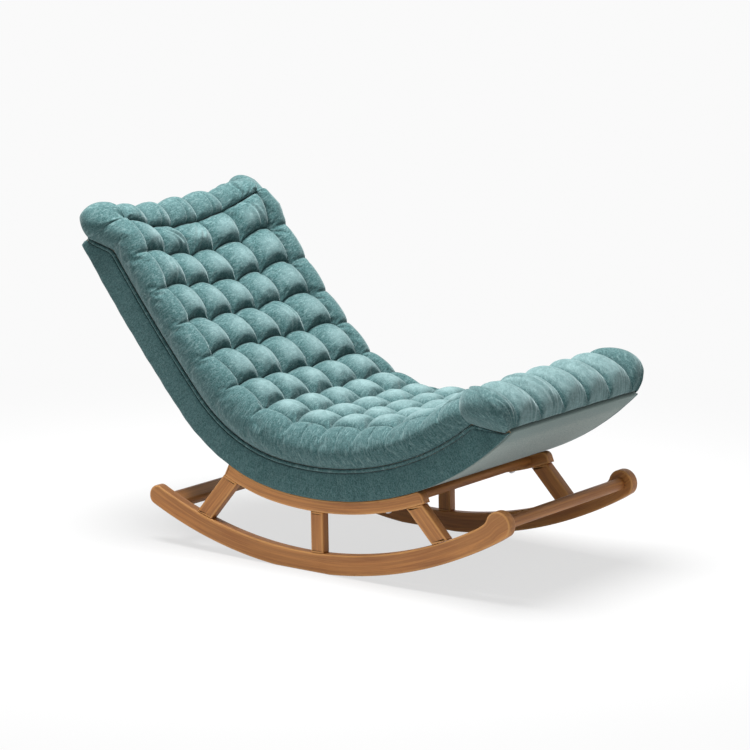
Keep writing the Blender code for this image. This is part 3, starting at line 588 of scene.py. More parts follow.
@dataclass(frozen=True)
class SeatLine:
    """Underside of the seat in the side view: arcs that follow on from each other without a kink."""

    start: Pair = (-0.623, 0.705)
    start_heading: float = -54.2
    arcs: tuple[tuple[float, float], ...] = ((0.478, -47.9), (0.333, -7.1), (0.407, 21.3), (0.322, 46.4))
    length: float = 1.522
    tuft_level: float = 0.140
    first_row: float = 0.005
    row_pitch: float = 0.1015
    front_stretch: float = 0.024
    stretch_rows: Pair = (9.0, 12.0)
    table_steps: int = 800

    def follow(self, stations: Array) -> tuple[Array, Array, Array]:
        """Walk along the arcs.

        Args:
            stations: Distances from the head end.

        Returns:
            x, z and heading there. On an arc the heading grows evenly with the distance, and x and z are the
            sums of its cosine and sine.
        """
        stations = np.asarray(stations, dtype=float)
        (x, z), heading, begin = self.start, math.radians(self.start_heading), 0.0
        xs, zs, headings = (np.zeros_like(stations) for _ in range(3))
        for number, (length, end_heading) in enumerate(self.arcs):
            turn = (math.radians(end_heading) - heading) / length
            here = (stations >= begin) | (number == 0)
            angle = heading + turn * (stations - begin)
            xs = np.where(here, x + (np.sin(angle) - math.sin(heading)) / turn, xs)
            zs = np.where(here, z - (np.cos(angle) - math.cos(heading)) / turn, zs)
            headings = np.where(here, angle, headings)
            end = heading + turn * length
            x += (math.sin(end) - math.sin(heading)) / turn
            z -= (math.cos(end) - math.cos(heading)) / turn
            heading, begin = end, begin + length
        return xs, zs, headings

    def side(self, stations: Array, heights: Array) -> Array:
        """Return points (x, z): the line's own point, moved square to it by the height."""
        x, z, heading = self.follow(stations)
        return np.stack([x - heights * np.sin(heading), z + heights * np.cos(heading)], axis=-1)

    def places(self, stations: Array, across: Array, heights: Array) -> Array:
        """Return points (x, y, z) at stations, Y and heights."""
        flat = self.side(stations, heights)
        return np.stack([flat[..., 0], np.broadcast_to(across, flat.shape[:-1]), flat[..., 1]], axis=-1)

    def row_stations(self, rows: Array) -> Array:
        """Work out the stations of tuft rows.

        They lie one pitch apart along a line at the level of the tufts, and further apart at the front.

        Args:
            rows: Rows, which need not be whole.

        Returns:
            Station of each row.
        """
        table = np.linspace(0.0, self.length, self.table_steps)
        level = table - self.tuft_level * (self.follow(table)[2] - self.follow(0.0)[2])
        first, last = self.stretch_rows
        stretch = self.front_stretch * np.clip((np.asarray(rows) - first) / (last - first), 0.0, 1.0) ** 2
        steps = np.asarray(rows) * self.row_pitch + stretch
        return np.interp(np.interp(self.first_row, table, level) + steps, level, table)


SEAT = SeatLine()


@dataclass(frozen=True)
class Sweep:
    """A flat outline that is carried sideways through rings, each with its own Y and inset.

    The outline runs along its lower edge and back along its upper edge. A ring moves every corner inwards by
    its inset, along the mean of the two edges that meet there, stretched so that both edges move as far.
    """

    lower: Array
    upper: Array
    rings: Array

    @staticmethod
    def eased_rings(middle: float, thickness: float, easing: float, steps: int = 4) -> Array:
        """Lay out the rings of a board whose edges are quarter circles, with a narrow rim on both faces.

        Args:
            middle: Y of the board's middle.
            thickness: Its size along Y.
            easing: Radius of the quarter circles.
            steps: How many rings make one of them.

        Returns:
            Inset and Y of each ring.
        """
        angle = np.radians(np.linspace(0.0, 90.0, steps))
        inset = np.concatenate([[2.0 * easing], easing * (1.0 - np.sin(angle))])
        depth = np.concatenate([[thickness / 2], thickness / 2 - easing * (1.0 - np.cos(angle))])
        near = np.stack([inset, middle - depth], axis=-1)
        far = np.stack([inset, middle + depth], axis=-1)
        return np.concatenate([near, far[::-1]])

    def flat_points(self) -> Array:
        """Return the rings' corners as (first outline axis, Y, second outline axis), ring by ring."""
        loop = np.concatenate([self.lower, self.upper[::-1]])
        edge = np.roll(loop, -1, axis=0) - loop
        outward = np.stack([edge[:, 1], -edge[:, 0]], axis=-1) / np.linalg.norm(edge, axis=1, keepdims=True)
        before = np.roll(outward, 1, axis=0)
        corner = (before + outward) / (1.0 + (before * outward).sum(axis=1, keepdims=True))
        spread = loop[None] - self.rings[:, 0, None, None] * corner[None]
        y = np.broadcast_to(self.rings[:, 1, None], spread.shape[:2])
        return np.stack([spread[..., 0], y, spread[..., 1]], axis=-1)

    def faces(self) -> Array:
        """Return the quads of the wall through the rings and of the two flat faces."""
        half, count = len(self.lower), len(self.rings)
        loop = 2 * half
        wall = grid_faces(count, loop, round_columns=True)
        step = np.arange(half - 1)
        cap = np.stack([step, step + 1, loop - 2 - step, loop - 1 - step], axis=-1)
        return np.concatenate([wall, cap, cap[:, ::-1] + (count - 1) * loop])

    def grain(self, lengthwise: bool, start: float) -> Array:
        """Place every corner in the wood: along the board, across it and through it.

        Args:
            lengthwise: Whether the grain runs along the outline, or else along Y.
            start: Where on its plank the board was cut.

        Returns:
            Three numbers per corner, ring by ring.
        """
        points = self.flat_points()
        middle = (self.lower + self.upper) / 2
        along = run_lengths(middle)
        half_depth = np.linalg.norm(self.upper - self.lower, axis=1) / 2
        run = np.broadcast_to(np.concatenate([along, along[::-1]]), points.shape[:2])
        rise = np.broadcast_to(np.concatenate([-half_depth, half_depth[::-1]]), points.shape[:2])
        if not lengthwise:
            return np.stack([points[..., 1] + start, run, rise], axis=-1)
        return np.stack([run + start, rise, points[..., 1]], axis=-1)


@dataclass(frozen=True)
class BandEdge:
    """Upper edge of the side bands, where the piping lies and the cushion starts."""

    depth: float = 0.066
    head_depth: float = 0.020
    front_depth: float = 0.004
    head_knee_row: float = 0.5
    front_row: float = 12.0
    front_fan: float = 0.024
    piping_radius: float = 0.0045
    gap: float = 0.0003

    def knees(self) -> list[float]:
        """Return the stations at which the edge bends: head end, head knee, front knee and front end."""
        head, front = SEAT.row_stations(np.array([self.head_knee_row, self.front_row]))
        return [0.0, float(head), float(front) - self.front_fan, SEAT.length]

    def top(self, stations: Array) -> Array:
        """Return the height of the band's edge: level, falling away past both knees."""
        heights = [self.head_depth, self.depth, self.depth, self.front_depth]
        return np.interp(stations, self.knees(), heights)

    def piping_room(self, stations: Array) -> Array:
        """Work out the height that the piping takes: more on the slope at the head, none at the front.

        Args:
            stations: Distances from the head end.

        Returns:
            The height there.
        """
        knees = self.knees()
        lean = math.hypot(1.0, (self.depth - self.head_depth) / knees[1])
        room = 2.0 * (self.gap + self.piping_radius)
        return np.interp(stations, knees, [room * lean, room * lean, room, self.gap])

    def cushion_edge(self, stations: Array) -> Array:
        """Return the height of the cushion's side edge, on top of the piping."""
        return self.top(stations) + self.piping_room(stations)


EDGE = BandEdge()


@dataclass(frozen=True)
class Fold:
    """A few parallel creases on one tuft: where they lie, which way they run and how large they are."""

    row: float
    column: float
    turn: float
    length: float = 0.030
    width: float = 0.019
    pitch: float = 0.0170
    height: float = 0.0045
    fan: float = 0.25


@dataclass(frozen=True)
class ClothSettle:
    """A short cloth simulation: the sewn cushion is blown up a little, and its shape is kept."""

    frames: int = 20
    reach: float = 0.014
    hold_levels: int = 20
    quality: int = 6
    mass: float = 0.25
    stretch: float = 12.0
    shear: float = 6.0
    bending: float = 0.35
    pressure: float = 4.0
    shrink: float = -0.035

    def add_cloth(self, piece: Piece, group: str) -> bpy.types.Modifier:
        """Give a piece the cloth that is simulated.

        Args:
            piece: The piece.
            group: Its vertex group of sewn points.

        Returns:
            The modifier.
        """
        cloth = piece.modifiers.new("settle", "CLOTH")
        settings = cloth.settings
        settings.quality = self.quality
        settings.mass = self.mass
        settings.tension_stiffness = settings.compression_stiffness = self.stretch
        settings.shear_stiffness = self.shear
        settings.bending_stiffness = self.bending
        settings.use_pressure = True
        settings.uniform_pressure_force = self.pressure
        settings.shrink_min = self.shrink
        settings.vertex_group_mass = group
        settings.effector_weights.gravity = 0.0
        cloth.collision_settings.use_collision = False
        return cloth

    def run(self, piece: Piece) -> None:
        """Simulate a piece and keep its shape, with every move cut off at the reach.

        Args:
            piece: The piece, with a mark named hold that says how firmly each point is sewn down.
        """
        mesh, scene = piece.data, bpy.context.scene
        count = len(mesh.vertices)
        hold, start, after = np.zeros(count), np.zeros(3 * count), np.zeros(3 * count)
        mesh.attributes["hold"].data.foreach_get("value", hold)
        mesh.vertices.foreach_get("co", start)
        group = piece.vertex_groups.new(name="sewn")
        levels = np.round(hold * self.hold_levels).astype(int)
        for level in range(1, self.hold_levels + 1):
            group.add(np.flatnonzero(levels == level).tolist(), level / self.hold_levels, "REPLACE")
        cloth = self.add_cloth(piece, group.name)
        for step in range(1, self.frames + 1):
            scene.frame_set(step)
        settled = piece.evaluated_get(bpy.context.evaluated_depsgraph_get())
        settled.data.vertices.foreach_get("co", after)
        move = (after - start).reshape(-1, 3)
        far = np.linalg.norm(move, axis=1, keepdims=True)
        move *= np.minimum(1.0, self.reach / np.maximum(far, TINY))
        piece.modifiers.remove(cloth)
        piece.vertex_groups.remove(group)
        scene.frame_set(1)
        mesh.vertices.foreach_set("co", start + move.ravel())
        mesh.update()
        LOG.info("%s: settled by %.1f mm at most", piece.name, 1e3 * far.max())


@dataclass(frozen=True)
class TuftedCushion:
    """Velvet cushion stitched down on a grid of points, with rolls round all four edges.

    A point of it has a row u, from -1 at the seam behind the head over 0 to 12 on the tufts to 13 at the
    front seam, and a column v, from -3.5 to 3.5 across, of which the outer ones are the border rolls.
    """

    rows: int = 12
    columns: int = 5
    column_pitch: float = 0.0965
    dimple_back: float = 0.124
    dimple_seat: float = 0.147
    dimple_rows: Pair = (2.5, 5.5)
    front_dip: float = 0.026
    front_dip_rows: Pair = (8.5, 12.0)
    head_cup: float = 0.041
    head_cup_rows: Pair = (-0.5, 6.0)
    head_droop: float = 0.032
    head_droop_rows: Pair = (-1.0, 4.0)
    pillow_power: float = 0.56
    back_sag: float = 0.16
    back_sag_rows: Pair = (3.5, 7.0)
    tuft_crown: float = 0.043
    seam_height: float = 0.011
    seam_bow: float = 0.016
    border_rise: Pair = (0.060, 0.086)
    border_lean: Pair = (-0.005, 0.075)
    head_rise: Pair = (0.056, 0.078)
    head_lean: Pair = (0.000, 0.096)
    front_rise: Pair = (0.050, 0.050)
    front_lean: Pair = (0.015, 0.115)
    front_slant: float = 0.30
    corner_lean: Pair = (0.75, 0.50)
    corner_rise: Pair = (-0.35, 0.20)
    seat_border_drop: float = 0.28
    seat_border_rows: Pair = (5.5, 8.5)
    lobe_shares: Pair = (0.84, 0.985)
    end_lobe_shares: Pair = (0.46, 0.68)
    front_lobe_shares: Pair = (0.34, 0.38)
    corner_lobe_shares: Pair = (0.30, 0.55)
    lobe_fade: Pair = (0.25, 0.75)
    pinched_rows: float = 0.6
    far_corner_plain: float = 0.5
    far_corner_fill: float = 0.024
    far_corner_spread: float = 0.4
    # Crest levels that set painted shade and painted highlight: the rolls stay darker, the front rolls and
    # the seat paler.
    crest_full: float = 0.50
    crest_full_end: float = 0.06
    crest_full_front: Pair = (0.26, 0.06)
    crest_in_seam: Pair = (0.03, 0.18)
    crest_slope: Pair = (1.05, 2.5)
    back_wear: float = 0.80
    wear_rows: Pair = (3.5, 8.0)
    gather: float = 0.0014
    gather_wave: float = 0.0021
    gather_drift: Pair = (3.0, 0.017)
    gather_patch: float = 0.031
    gather_reach: Pair = (0.55, 0.9)
    folds: tuple[Fold, ...] = (
        Fold(0.45, -0.95, 38.0, height=0.0065),
        Fold(0.42, 0.05, -28.0, height=0.0060),
        Fold(0.60, 2.00, 10.0, height=0.0030),
        Fold(-0.35, 2.05, 150.0, length=0.036, width=0.022, fan=0.60),
        Fold(1.45, -2.00, 0.0, width=0.014, pitch=0.0145),
        Fold(3.42, 1.00, 8.0, length=0.034, pitch=0.0145),
        Fold(4.50, -1.00, -10.0, height=0.0022),
        Fold(6.45, -0.05, 15.0, height=0.0024),
        Fold(7.50, 1.00, -12.0, height=0.0022),
        Fold(8.45, -1.05, 10.0, height=0.0026),
        Fold(12.40, -1.10, 20.0, length=0.044, height=0.0036),
    )
    front_seam_height: float = 0.006
    end_reach: float = 0.013
    front_fan_rows: Pair = (8.0, 12.0)
    edge_y: float = 0.270
    foam_y: float = 0.262
    floor_height: float = 0.0792
    seam_allowance: float = 0.04
    tuft_steps: int = 24
    roll_steps: int = 30
    stray: float = 0.003
    stray_fade: float = 4.0
    pucker: float = 0.0016
    pucker_spokes: float = 9.0
    pucker_reach: Pair = (0.006, 0.020)
    stitch_hold: float = 0.008
    seam_hold: float = 0.45
    seam_hold_shares: Pair = (0.15, 0.45)
    rim_hold: float = 0.02
    seed: int = 7

    @property
    def half(self) -> float:
        """Return the column value of the outermost stitches."""
        return self.columns / 2

    def grid(self) -> tuple[Array, Array]:
        """Return the row and column values of the skin's grid."""
        tail = np.linspace(-1.0, 0.0, self.roll_steps, endpoint=False)
        body = np.linspace(0.0, self.rows, self.rows * self.tuft_steps, endpoint=False)
        nose = self.rows + np.linspace(0.0, 1.0, self.roll_steps + 1)
        outer = np.linspace(0.0, 1.0, self.roll_steps, endpoint=False)
        inner = np.linspace(-self.half, self.half, self.columns * self.tuft_steps, endpoint=False)
        across = np.concatenate([outer - self.half - 1.0, inner, outer + self.half, [self.half + 1.0]])
        return np.meshgrid(np.concatenate([tail, body, nose]), across, indexing="ij")

    def skin(self, u: Array, v: Array) -> tuple[Array, Array, Array]:
        """Lay the stitched skin before it swells.

        Stitches lie on an even grid. Outer columns run straight down to the piping, end rows to their seams.

        Args:
            u: Rows.
            v: Columns.

        Returns:
            Station, Y and height of each point.
        """
        head, front = np.clip(-u, 0.0, 1.0), np.clip(u - self.rows, 0.0, 1.0)
        border = np.clip(np.abs(v) - self.half, 0.0, 1.0)
        droop = self.head_droop * (1.0 - ease(u, *self.head_droop_rows))
        stations = SEAT.row_stations(np.clip(u, 0.0, self.rows))
        stations = stations + droop * np.clip(1.0 - (v / self.half) ** 2, 0.0, 1.0)
        stations = stations - EDGE.front_fan * border * ease(u, *self.front_fan_rows)
        stations = stations + (-self.end_reach - stations) * head
        stations = stations + (SEAT.length + self.end_reach - stations) * front
        heights = self.dimple_back + (self.dimple_seat - self.dimple_back) * ease(u, *self.dimple_rows)
        heights = heights - self.front_dip * ease(u, *self.front_dip_rows)
        hollow = 1.0 - np.clip(np.abs(v) / self.half, 0.0, 1.0) ** 2
        heights = heights - hollow * self.head_cup * (1.0 - ease(u, *self.head_cup_rows))
        far_corner = np.exp(-((u ** 2 + (v - self.half) ** 2) / self.far_corner_spread))
        heights = heights + self.far_corner_fill * far_corner
        heights = heights + (float(EDGE.cushion_edge(0.0)) - heights) * head
        heights = heights + (self.front_seam_height - heights) * front
        heights = heights + (EDGE.cushion_edge(stations) - heights) * border
        inner = np.clip(np.abs(v), 0.0, self.half) * self.column_pitch
        across = np.sign(v) * (inner + (self.edge_y - self.half * self.column_pitch) * border)
        return stations, across, heights

    def pillow(self, t: Array) -> Array:
        """Return the swell across one tuft, (1 - t^2)^power: none at its seams, full in its middle."""
        return (1.0 - np.clip(np.abs(t), 0.0, 1.0) ** 2) ** self.pillow_power

    def shares(self, u: Array, v: Array) -> tuple[Array, Array]:
        """Work out the pillow curves of the tufts, which sag a little down the back.

        Args:
            u: Rows.
            v: Columns.

        Returns:
            The curve along the rows and the curve across the columns.
        """
        along = 2.0 * (u - np.floor(u)) - 1.0
        sag = self.back_sag * (1.0 - ease(u, *self.back_sag_rows)) * (u > 0.0)
        sideways = 2.0 * (v + self.half - np.floor(v + self.half)) - 1.0
        return self.pillow(along - sag * (1.0 - along ** 2)), self.pillow(sideways)

    def swell(self, u: Array, v: Array) -> Array:
        """Work out how far each point of the tufts swells.

        The crown times both pillow curves fills the middle, and seams stay up between the stitches.

        Args:
            u: Rows.
            v: Columns.

        Returns:
            Swell in metres, square to the skin.
        """
        along, sideways = self.shares(u, v)
        seams = self.seam_height * (along * (1.0 - sideways) + sideways * (1.0 - along))
        return self.tuft_crown * along * sideways + seams

    def rim(self, u: Array, v: Array) -> tuple[Array, Array, Array]:
        """Roll the skin over the edge of the tufts and down to the seams, as one roll round all four sides.

        Each point lies on a cubic curve from the seam of the outermost tufts to the rim's edge. The curve
        first rises from the seam and then comes down on the edge from outside. On corners the curves fan out.

        Args:
            u: Rows.
            v: Columns.

        Returns:
            Station, Y and height of each point.
        """
        head, front = np.clip(-u, 0.0, 1.0), np.clip(u - self.rows, 0.0, 1.0)
        border = np.clip(np.abs(v) - self.half, 0.0, 1.0)
        t = np.maximum(np.maximum(head, front), border)
        reach = np.maximum(t, TINY)
        row, column = np.clip(u, 0.0, self.rows), np.clip(v, -self.half, self.half)
        foot = np.stack(self.skin(row, column), axis=-1)
        edge = np.stack(self.skin(row + (u - row) / reach, column + (v - column) / reach), axis=-1)
        along, sideways = self.shares(row, column)
        on_side, on_end = border >= np.maximum(head, front), border < np.maximum(head, front)
        total = np.maximum(head + front + border, TINY)
        lobe = np.where(front > 0.0, self.pillow(2.0 * border / total - 1.0), 1.0)
        lobe = np.where(on_end & (border == 0.0), sideways, lobe)
        lobe = np.where(on_side & (head + front == 0.0), along, lobe)
        foot[..., 2] += self.seam_height * np.where(border + head + front > 0.0, lobe * (lobe < 1.0), 0.0)
        pinch = ease(row, self.rows - self.pinched_rows, self.rows)
        shares = zip(self.end_lobe_shares, self.front_lobe_shares, self.lobe_shares, self.corner_lobe_shares)
        inner, outer = (
            np.where(on_end, np.where(front > 0.0, foot_end, head_end), side + (swelled - side) * pinch)
            for head_end, foot_end, side, swelled in shares
        )
        share = inner + (outer - inner) * ease(t, *self.lobe_fade)
        plain = ease(v, self.half - self.far_corner_plain, self.half)
        share = share + (1.0 - share) * plain * (1.0 - ease(u, 0.0, self.far_corner_plain))
        corners = np.stack([head, front], axis=-1) * (4.0 * border / total ** 2)[..., None]
        fullness = (share + (1.0 - share) * lobe)[..., None]
        flare = 1.0 + (corners @ np.array(self.corner_lean))[..., None]
        lift = 1.0 + (corners @ np.array(self.corner_rise))[..., None]
        lift = lift + self.front_slant * (front / total * (v / (self.half + 1.0) + 1.0) / 2.0)[..., None]
        weights = [part / total for part in (head, front, border)]
        weights.append(-weights[2] * self.seat_border_drop * ease(row, *self.seat_border_rows))
        sizes = (
            (self.head_rise, self.head_lean),
            (self.front_rise, self.front_lean),
            (self.border_rise, self.border_lean),
            (self.border_rise, (0.0, 0.0)),
        )
        outward = np.stack([front - head, np.sign(v) * border, np.zeros_like(t)], axis=-1)
        outward /= np.maximum(np.linalg.norm(outward, axis=-1, keepdims=True), TINY)
        upward = np.array([0.0, 0.0, 1.0])
        pulls = []
        for end in range(2):
            rise = sum(weight * size[0][end] for weight, size in zip(weights, sizes))[..., None]
            lean = sum(weight * size[1][end] for weight, size in zip(weights, sizes))[..., None]
            pulls.append(fullness * (rise * lift * upward + lean * flare * outward))
        curve = cubic(t[..., None], foot, foot + pulls[0], edge + pulls[1], edge)
        return curve[..., 0], curve[..., 1], curve[..., 2]

    def crest(self, u: Array, v: Array) -> Array:
        """Mark where the velvet gets painted shade, and a pale tone that is part wear and part painted
        highlight: least in a seam, most on the fullest swell.

        Args:
            u: Rows.
            v: Columns.

        Returns:
            0 in a seam of the tufts and 1 on their fullest swell. On the rolls it ends lower, which keeps
            them in darker painted shade; towards the front it is raised, as painted highlight.
        """
        along, sideways = self.shares(u, v)
        side, end = np.abs(v) > self.half, (u < 0.0) | (u > self.rows)
        lobe = np.where(side & end, 1.0, np.where(side, along, np.where(end, sideways, 1.0)))
        over_front, beside_front = self.crest_full_front
        to_front = np.where(side, beside_front, over_front) * ease(u, self.rows - 1.0, self.rows)
        fullest = self.crest_full + to_front + np.where(end & ~side, self.crest_full_end, 0.0)
        roll = np.where(end, *self.crest_in_seam) + np.where(u > self.rows, *self.crest_slope) * lobe
        # The back gets less of the pale tone than the seat: part less wear, part less painted highlight.
        worn = self.back_wear + (1.0 - self.back_wear) * ease(u, *self.wear_rows)
        return np.where(side | end, np.minimum(roll, fullest), worn * along * sideways)

    def from_stitch(self, u: Array, v: Array) -> tuple[Array, Array, Array, Array]:
        """Find the stitch that is nearest to each point.

        Args:
            u: Rows.
            v: Columns.

        Returns:
            Distance from it along the rows and across the columns, and its number along both.
        """
        row = np.clip(np.round(u), 0, self.rows).astype(int)
        column = np.clip(np.round(v + self.half), 0, self.columns).astype(int)
        return (u - row) * SEAT.row_pitch, (v + self.half - column) * self.column_pitch, row, column

    def puckers(self, u: Array, v: Array) -> Array:
        """Work out small folds that run out from each stitch like spokes and fade within a thumb's width.

        Args:
            u: Rows.
            v: Columns.

        Returns:
            Height of the folds, square to the skin.
        """
        dice = np.random.default_rng(self.seed)
        turn = dice.uniform(0.0, 2.0 * np.pi, (self.rows + 1, self.columns + 1))
        down, over, row, column = self.from_stitch(u, v)
        distance = np.hypot(down, over)
        spokes = np.cos(self.pucker_spokes * np.arctan2(down, over) + turn[row, column])
        near, far = self.pucker_reach
        return self.pucker * spokes * np.exp(-distance / far) * (1.0 - np.exp(-distance / near))

    def creases(self, u: Array, v: Array) -> Array:
        """Work out the larger folds: ridges in patches on single tufts, and gathers along the front seam.

        Args:
            u: Rows.
            v: Columns.

        Returns:
            Height of the folds, square to the skin.
        """
        over = v * self.column_pitch
        drift, drift_length = self.gather_drift
        ripple = np.sin(over / self.gather_wave + drift * np.sin(over / drift_length))
        ripple = ripple * np.sin(over / self.gather_patch + 1.0) ** 2
        first, last = self.gather_reach
        heights = self.gather * ripple * ease(u, self.rows + first, self.rows + last)
        for fold in self.folds:
            down, aside = (u - fold.row) * SEAT.row_pitch, over - fold.column * self.column_pitch
            cosine, sine = math.cos(math.radians(fold.turn)), math.sin(math.radians(fold.turn))
            along, across = down * cosine + aside * sine, aside * cosine - down * sine
            spread = 1.0 + fold.fan * along / fold.length
            bell = np.exp(-((along / fold.length) ** 2) - (across / (fold.width * spread)) ** 2)
            heights = heights + fold.height * bell * np.cos(FULL_TURN * across / (fold.pitch * spread))
        return heights

    def strays(self, u: Array, v: Array) -> Array:
        """Move the stitches a little at random, and ease the moves between them.

        Args:
            u: Rows.
            v: Columns.

        Returns:
            Move of each point along x, y and z.
        """
        dice = np.random.default_rng(self.seed + 1)
        knots = dice.uniform(-self.stray, self.stray, (self.rows + 3, self.columns + 3, 3))
        row = np.clip(u + 1.0, 0.0, self.rows + 2.0)
        column = np.clip(v + self.half + 1.0, 0.0, self.columns + 2.0)
        top = np.minimum(row.astype(int), self.rows + 1)
        left = np.minimum(column.astype(int), self.columns + 1)
        down, over = ease(row - top, 0.0, 1.0)[..., None], ease(column - left, 0.0, 1.0)[..., None]
        upper = knots[top, left] * (1.0 - over) + knots[top, left + 1] * over
        lower = knots[top + 1, left] * (1.0 - over) + knots[top + 1, left + 1] * over
        inside = np.clip(self.stray_fade * self.inside(u, v), 0.0, 1.0)
        return (upper * (1.0 - down) + lower * down) * inside[..., None]

    def inside(self, u: Array, v: Array) -> Array:
        """Return how many rows or columns a point lies inside the rim."""
        return np.minimum(np.minimum(u + 1.0, self.rows + 1.0 - u), self.half + 1.0 - np.abs(v))

    def floor_ring(self, u: Array, v: Array) -> tuple[Array, Array, Array, Array]:
        """Run round the skin's rim and lay a second ring inside it on the foam.

        Args:
            u: Rows of the skin's grid.
            v: Columns of the skin's grid.

        Returns:
            Point numbers of the rim in order, then station, Y and height of the ring on the foam.
        """
        rows, columns = u.shape
        numbers = np.arange(rows * columns).reshape(rows, columns)
        rim = np.concatenate([numbers[0, :-1], numbers[:-1, -1], numbers[-1, :0:-1], numbers[:0:-1, 0]])
        stations, across, _ = (part.ravel()[rim] for part in self.skin(u, v))
        return rim, stations, across * self.foam_y / self.edge_y, np.full(rim.shape, self.floor_height)

    def build(self) -> Piece:
        """Make the cushion: the swollen skin, a wall round the foam's edge and a plain underside.

        Returns:
            The cushion, still without its finish.
        """
        u, v = self.grid()
        on_tufts = (np.abs(v) < self.half) & (u > 0.0) & (u < self.rows)
        skin, rolls = np.stack(self.skin(u, v), axis=-1), np.stack(self.rim(u, v), axis=-1)
        lay = np.where(on_tufts[..., None], skin, rolls)
        lay[..., 2] += np.where(on_tufts, self.swell(u, v), 0.0)
        inner_rows = ease(u, 0.0, 1.0) * (1.0 - ease(u, self.rows - 1.0, self.rows))
        lay[..., 0] -= np.where(on_tufts, self.seam_bow * inner_rows * self.shares(u, v)[1], 0.0)
        base = SEAT.places(lay[..., 0], lay[..., 1], lay[..., 2])
        outward = np.cross(np.gradient(base, axis=0), np.gradient(base, axis=1))
        outward /= np.linalg.norm(outward, axis=-1, keepdims=True)
        top = base + outward * (self.puckers(u, v) + self.creases(u, v))[..., None] + self.strays(u, v)
        rim, stations, across, heights = self.floor_ring(u, v)
        ring = SEAT.places(stations, across, heights)
        edge = top.reshape(-1, 3)[rim]
        turned_in = edge + (ring - edge) * self.seam_allowance
        (rows, columns), count = u.shape, len(rim)
        within = u.size + np.arange(count)
        under = within + count
        rings = ((rim, within), (within, under))
        wall = np.concatenate([np.stack([a, np.roll(a, -1), np.roll(b, -1), b], axis=-1) for a, b in rings])
        right = under[columns - 1:columns + rows - 1]
        left = np.concatenate([under[:1], under[:2 * columns + rows - 4:-1]])
        step = np.arange(1, rows - 2)
        sole = np.stack([left[step], right[step], right[step + 1], left[step + 1]], axis=-1)
        head_face = np.concatenate([under[:columns], [right[1], left[1]]])
        front_row = under[columns + rows - 2:2 * columns + rows - 2]
        front_face = np.concatenate([front_row, [left[-2], right[-2]]])
        # The wall and underside of the cushion get crest 0, which gives them the full painted seam shade.
        seam = np.concatenate([self.crest(u, v).ravel(), np.zeros(2 * count)])
        hold = np.concatenate([self.hold(u, v).ravel(), np.ones(2 * count)])
        ring_lay = np.stack([stations, across, heights], axis=-1)
        return make_piece(
            "velvet_cushion",
            np.concatenate([top.reshape(-1, 3), turned_in, ring]),
            np.concatenate([grid_faces(rows, columns), wall, sole]),
            {"crest": seam, "hold": hold, "lay": np.concatenate([lay.reshape(-1, 3), ring_lay, ring_lay])},
            (head_face, front_face),
        )

    def hold(self, u: Array, v: Array) -> Array:
        """Work out how firmly each point is sewn down.

        Args:
            u: Rows.
            v: Columns.

        Returns:
            1 at stitches and on the rim, part of it along the seams, 0 elsewhere.
        """
        down, over, _, _ = self.from_stitch(u, v)
        seam = self.seam_hold * (1.0 - ease(np.minimum(*self.shares(u, v)), *self.seam_hold_shares))
        firm = np.maximum(np.exp(-((np.hypot(down, over) / self.stitch_hold) ** 2)), seam)
        return np.where(self.inside(u, v) < self.rim_hold, 1.0, firm)

    def make(self, finish: Material) -> None:
        """Build, settle and dress the cushion."""
        piece = self.build()
        ClothSettle().run(piece)
        piece.data.attributes.remove(piece.data.attributes["hold"])
        finer = piece.modifiers.new("finer", "SUBSURF")
        finer.levels = finer.render_levels = 1
        dress(piece, finish, "velvet", "tufted_cushion")


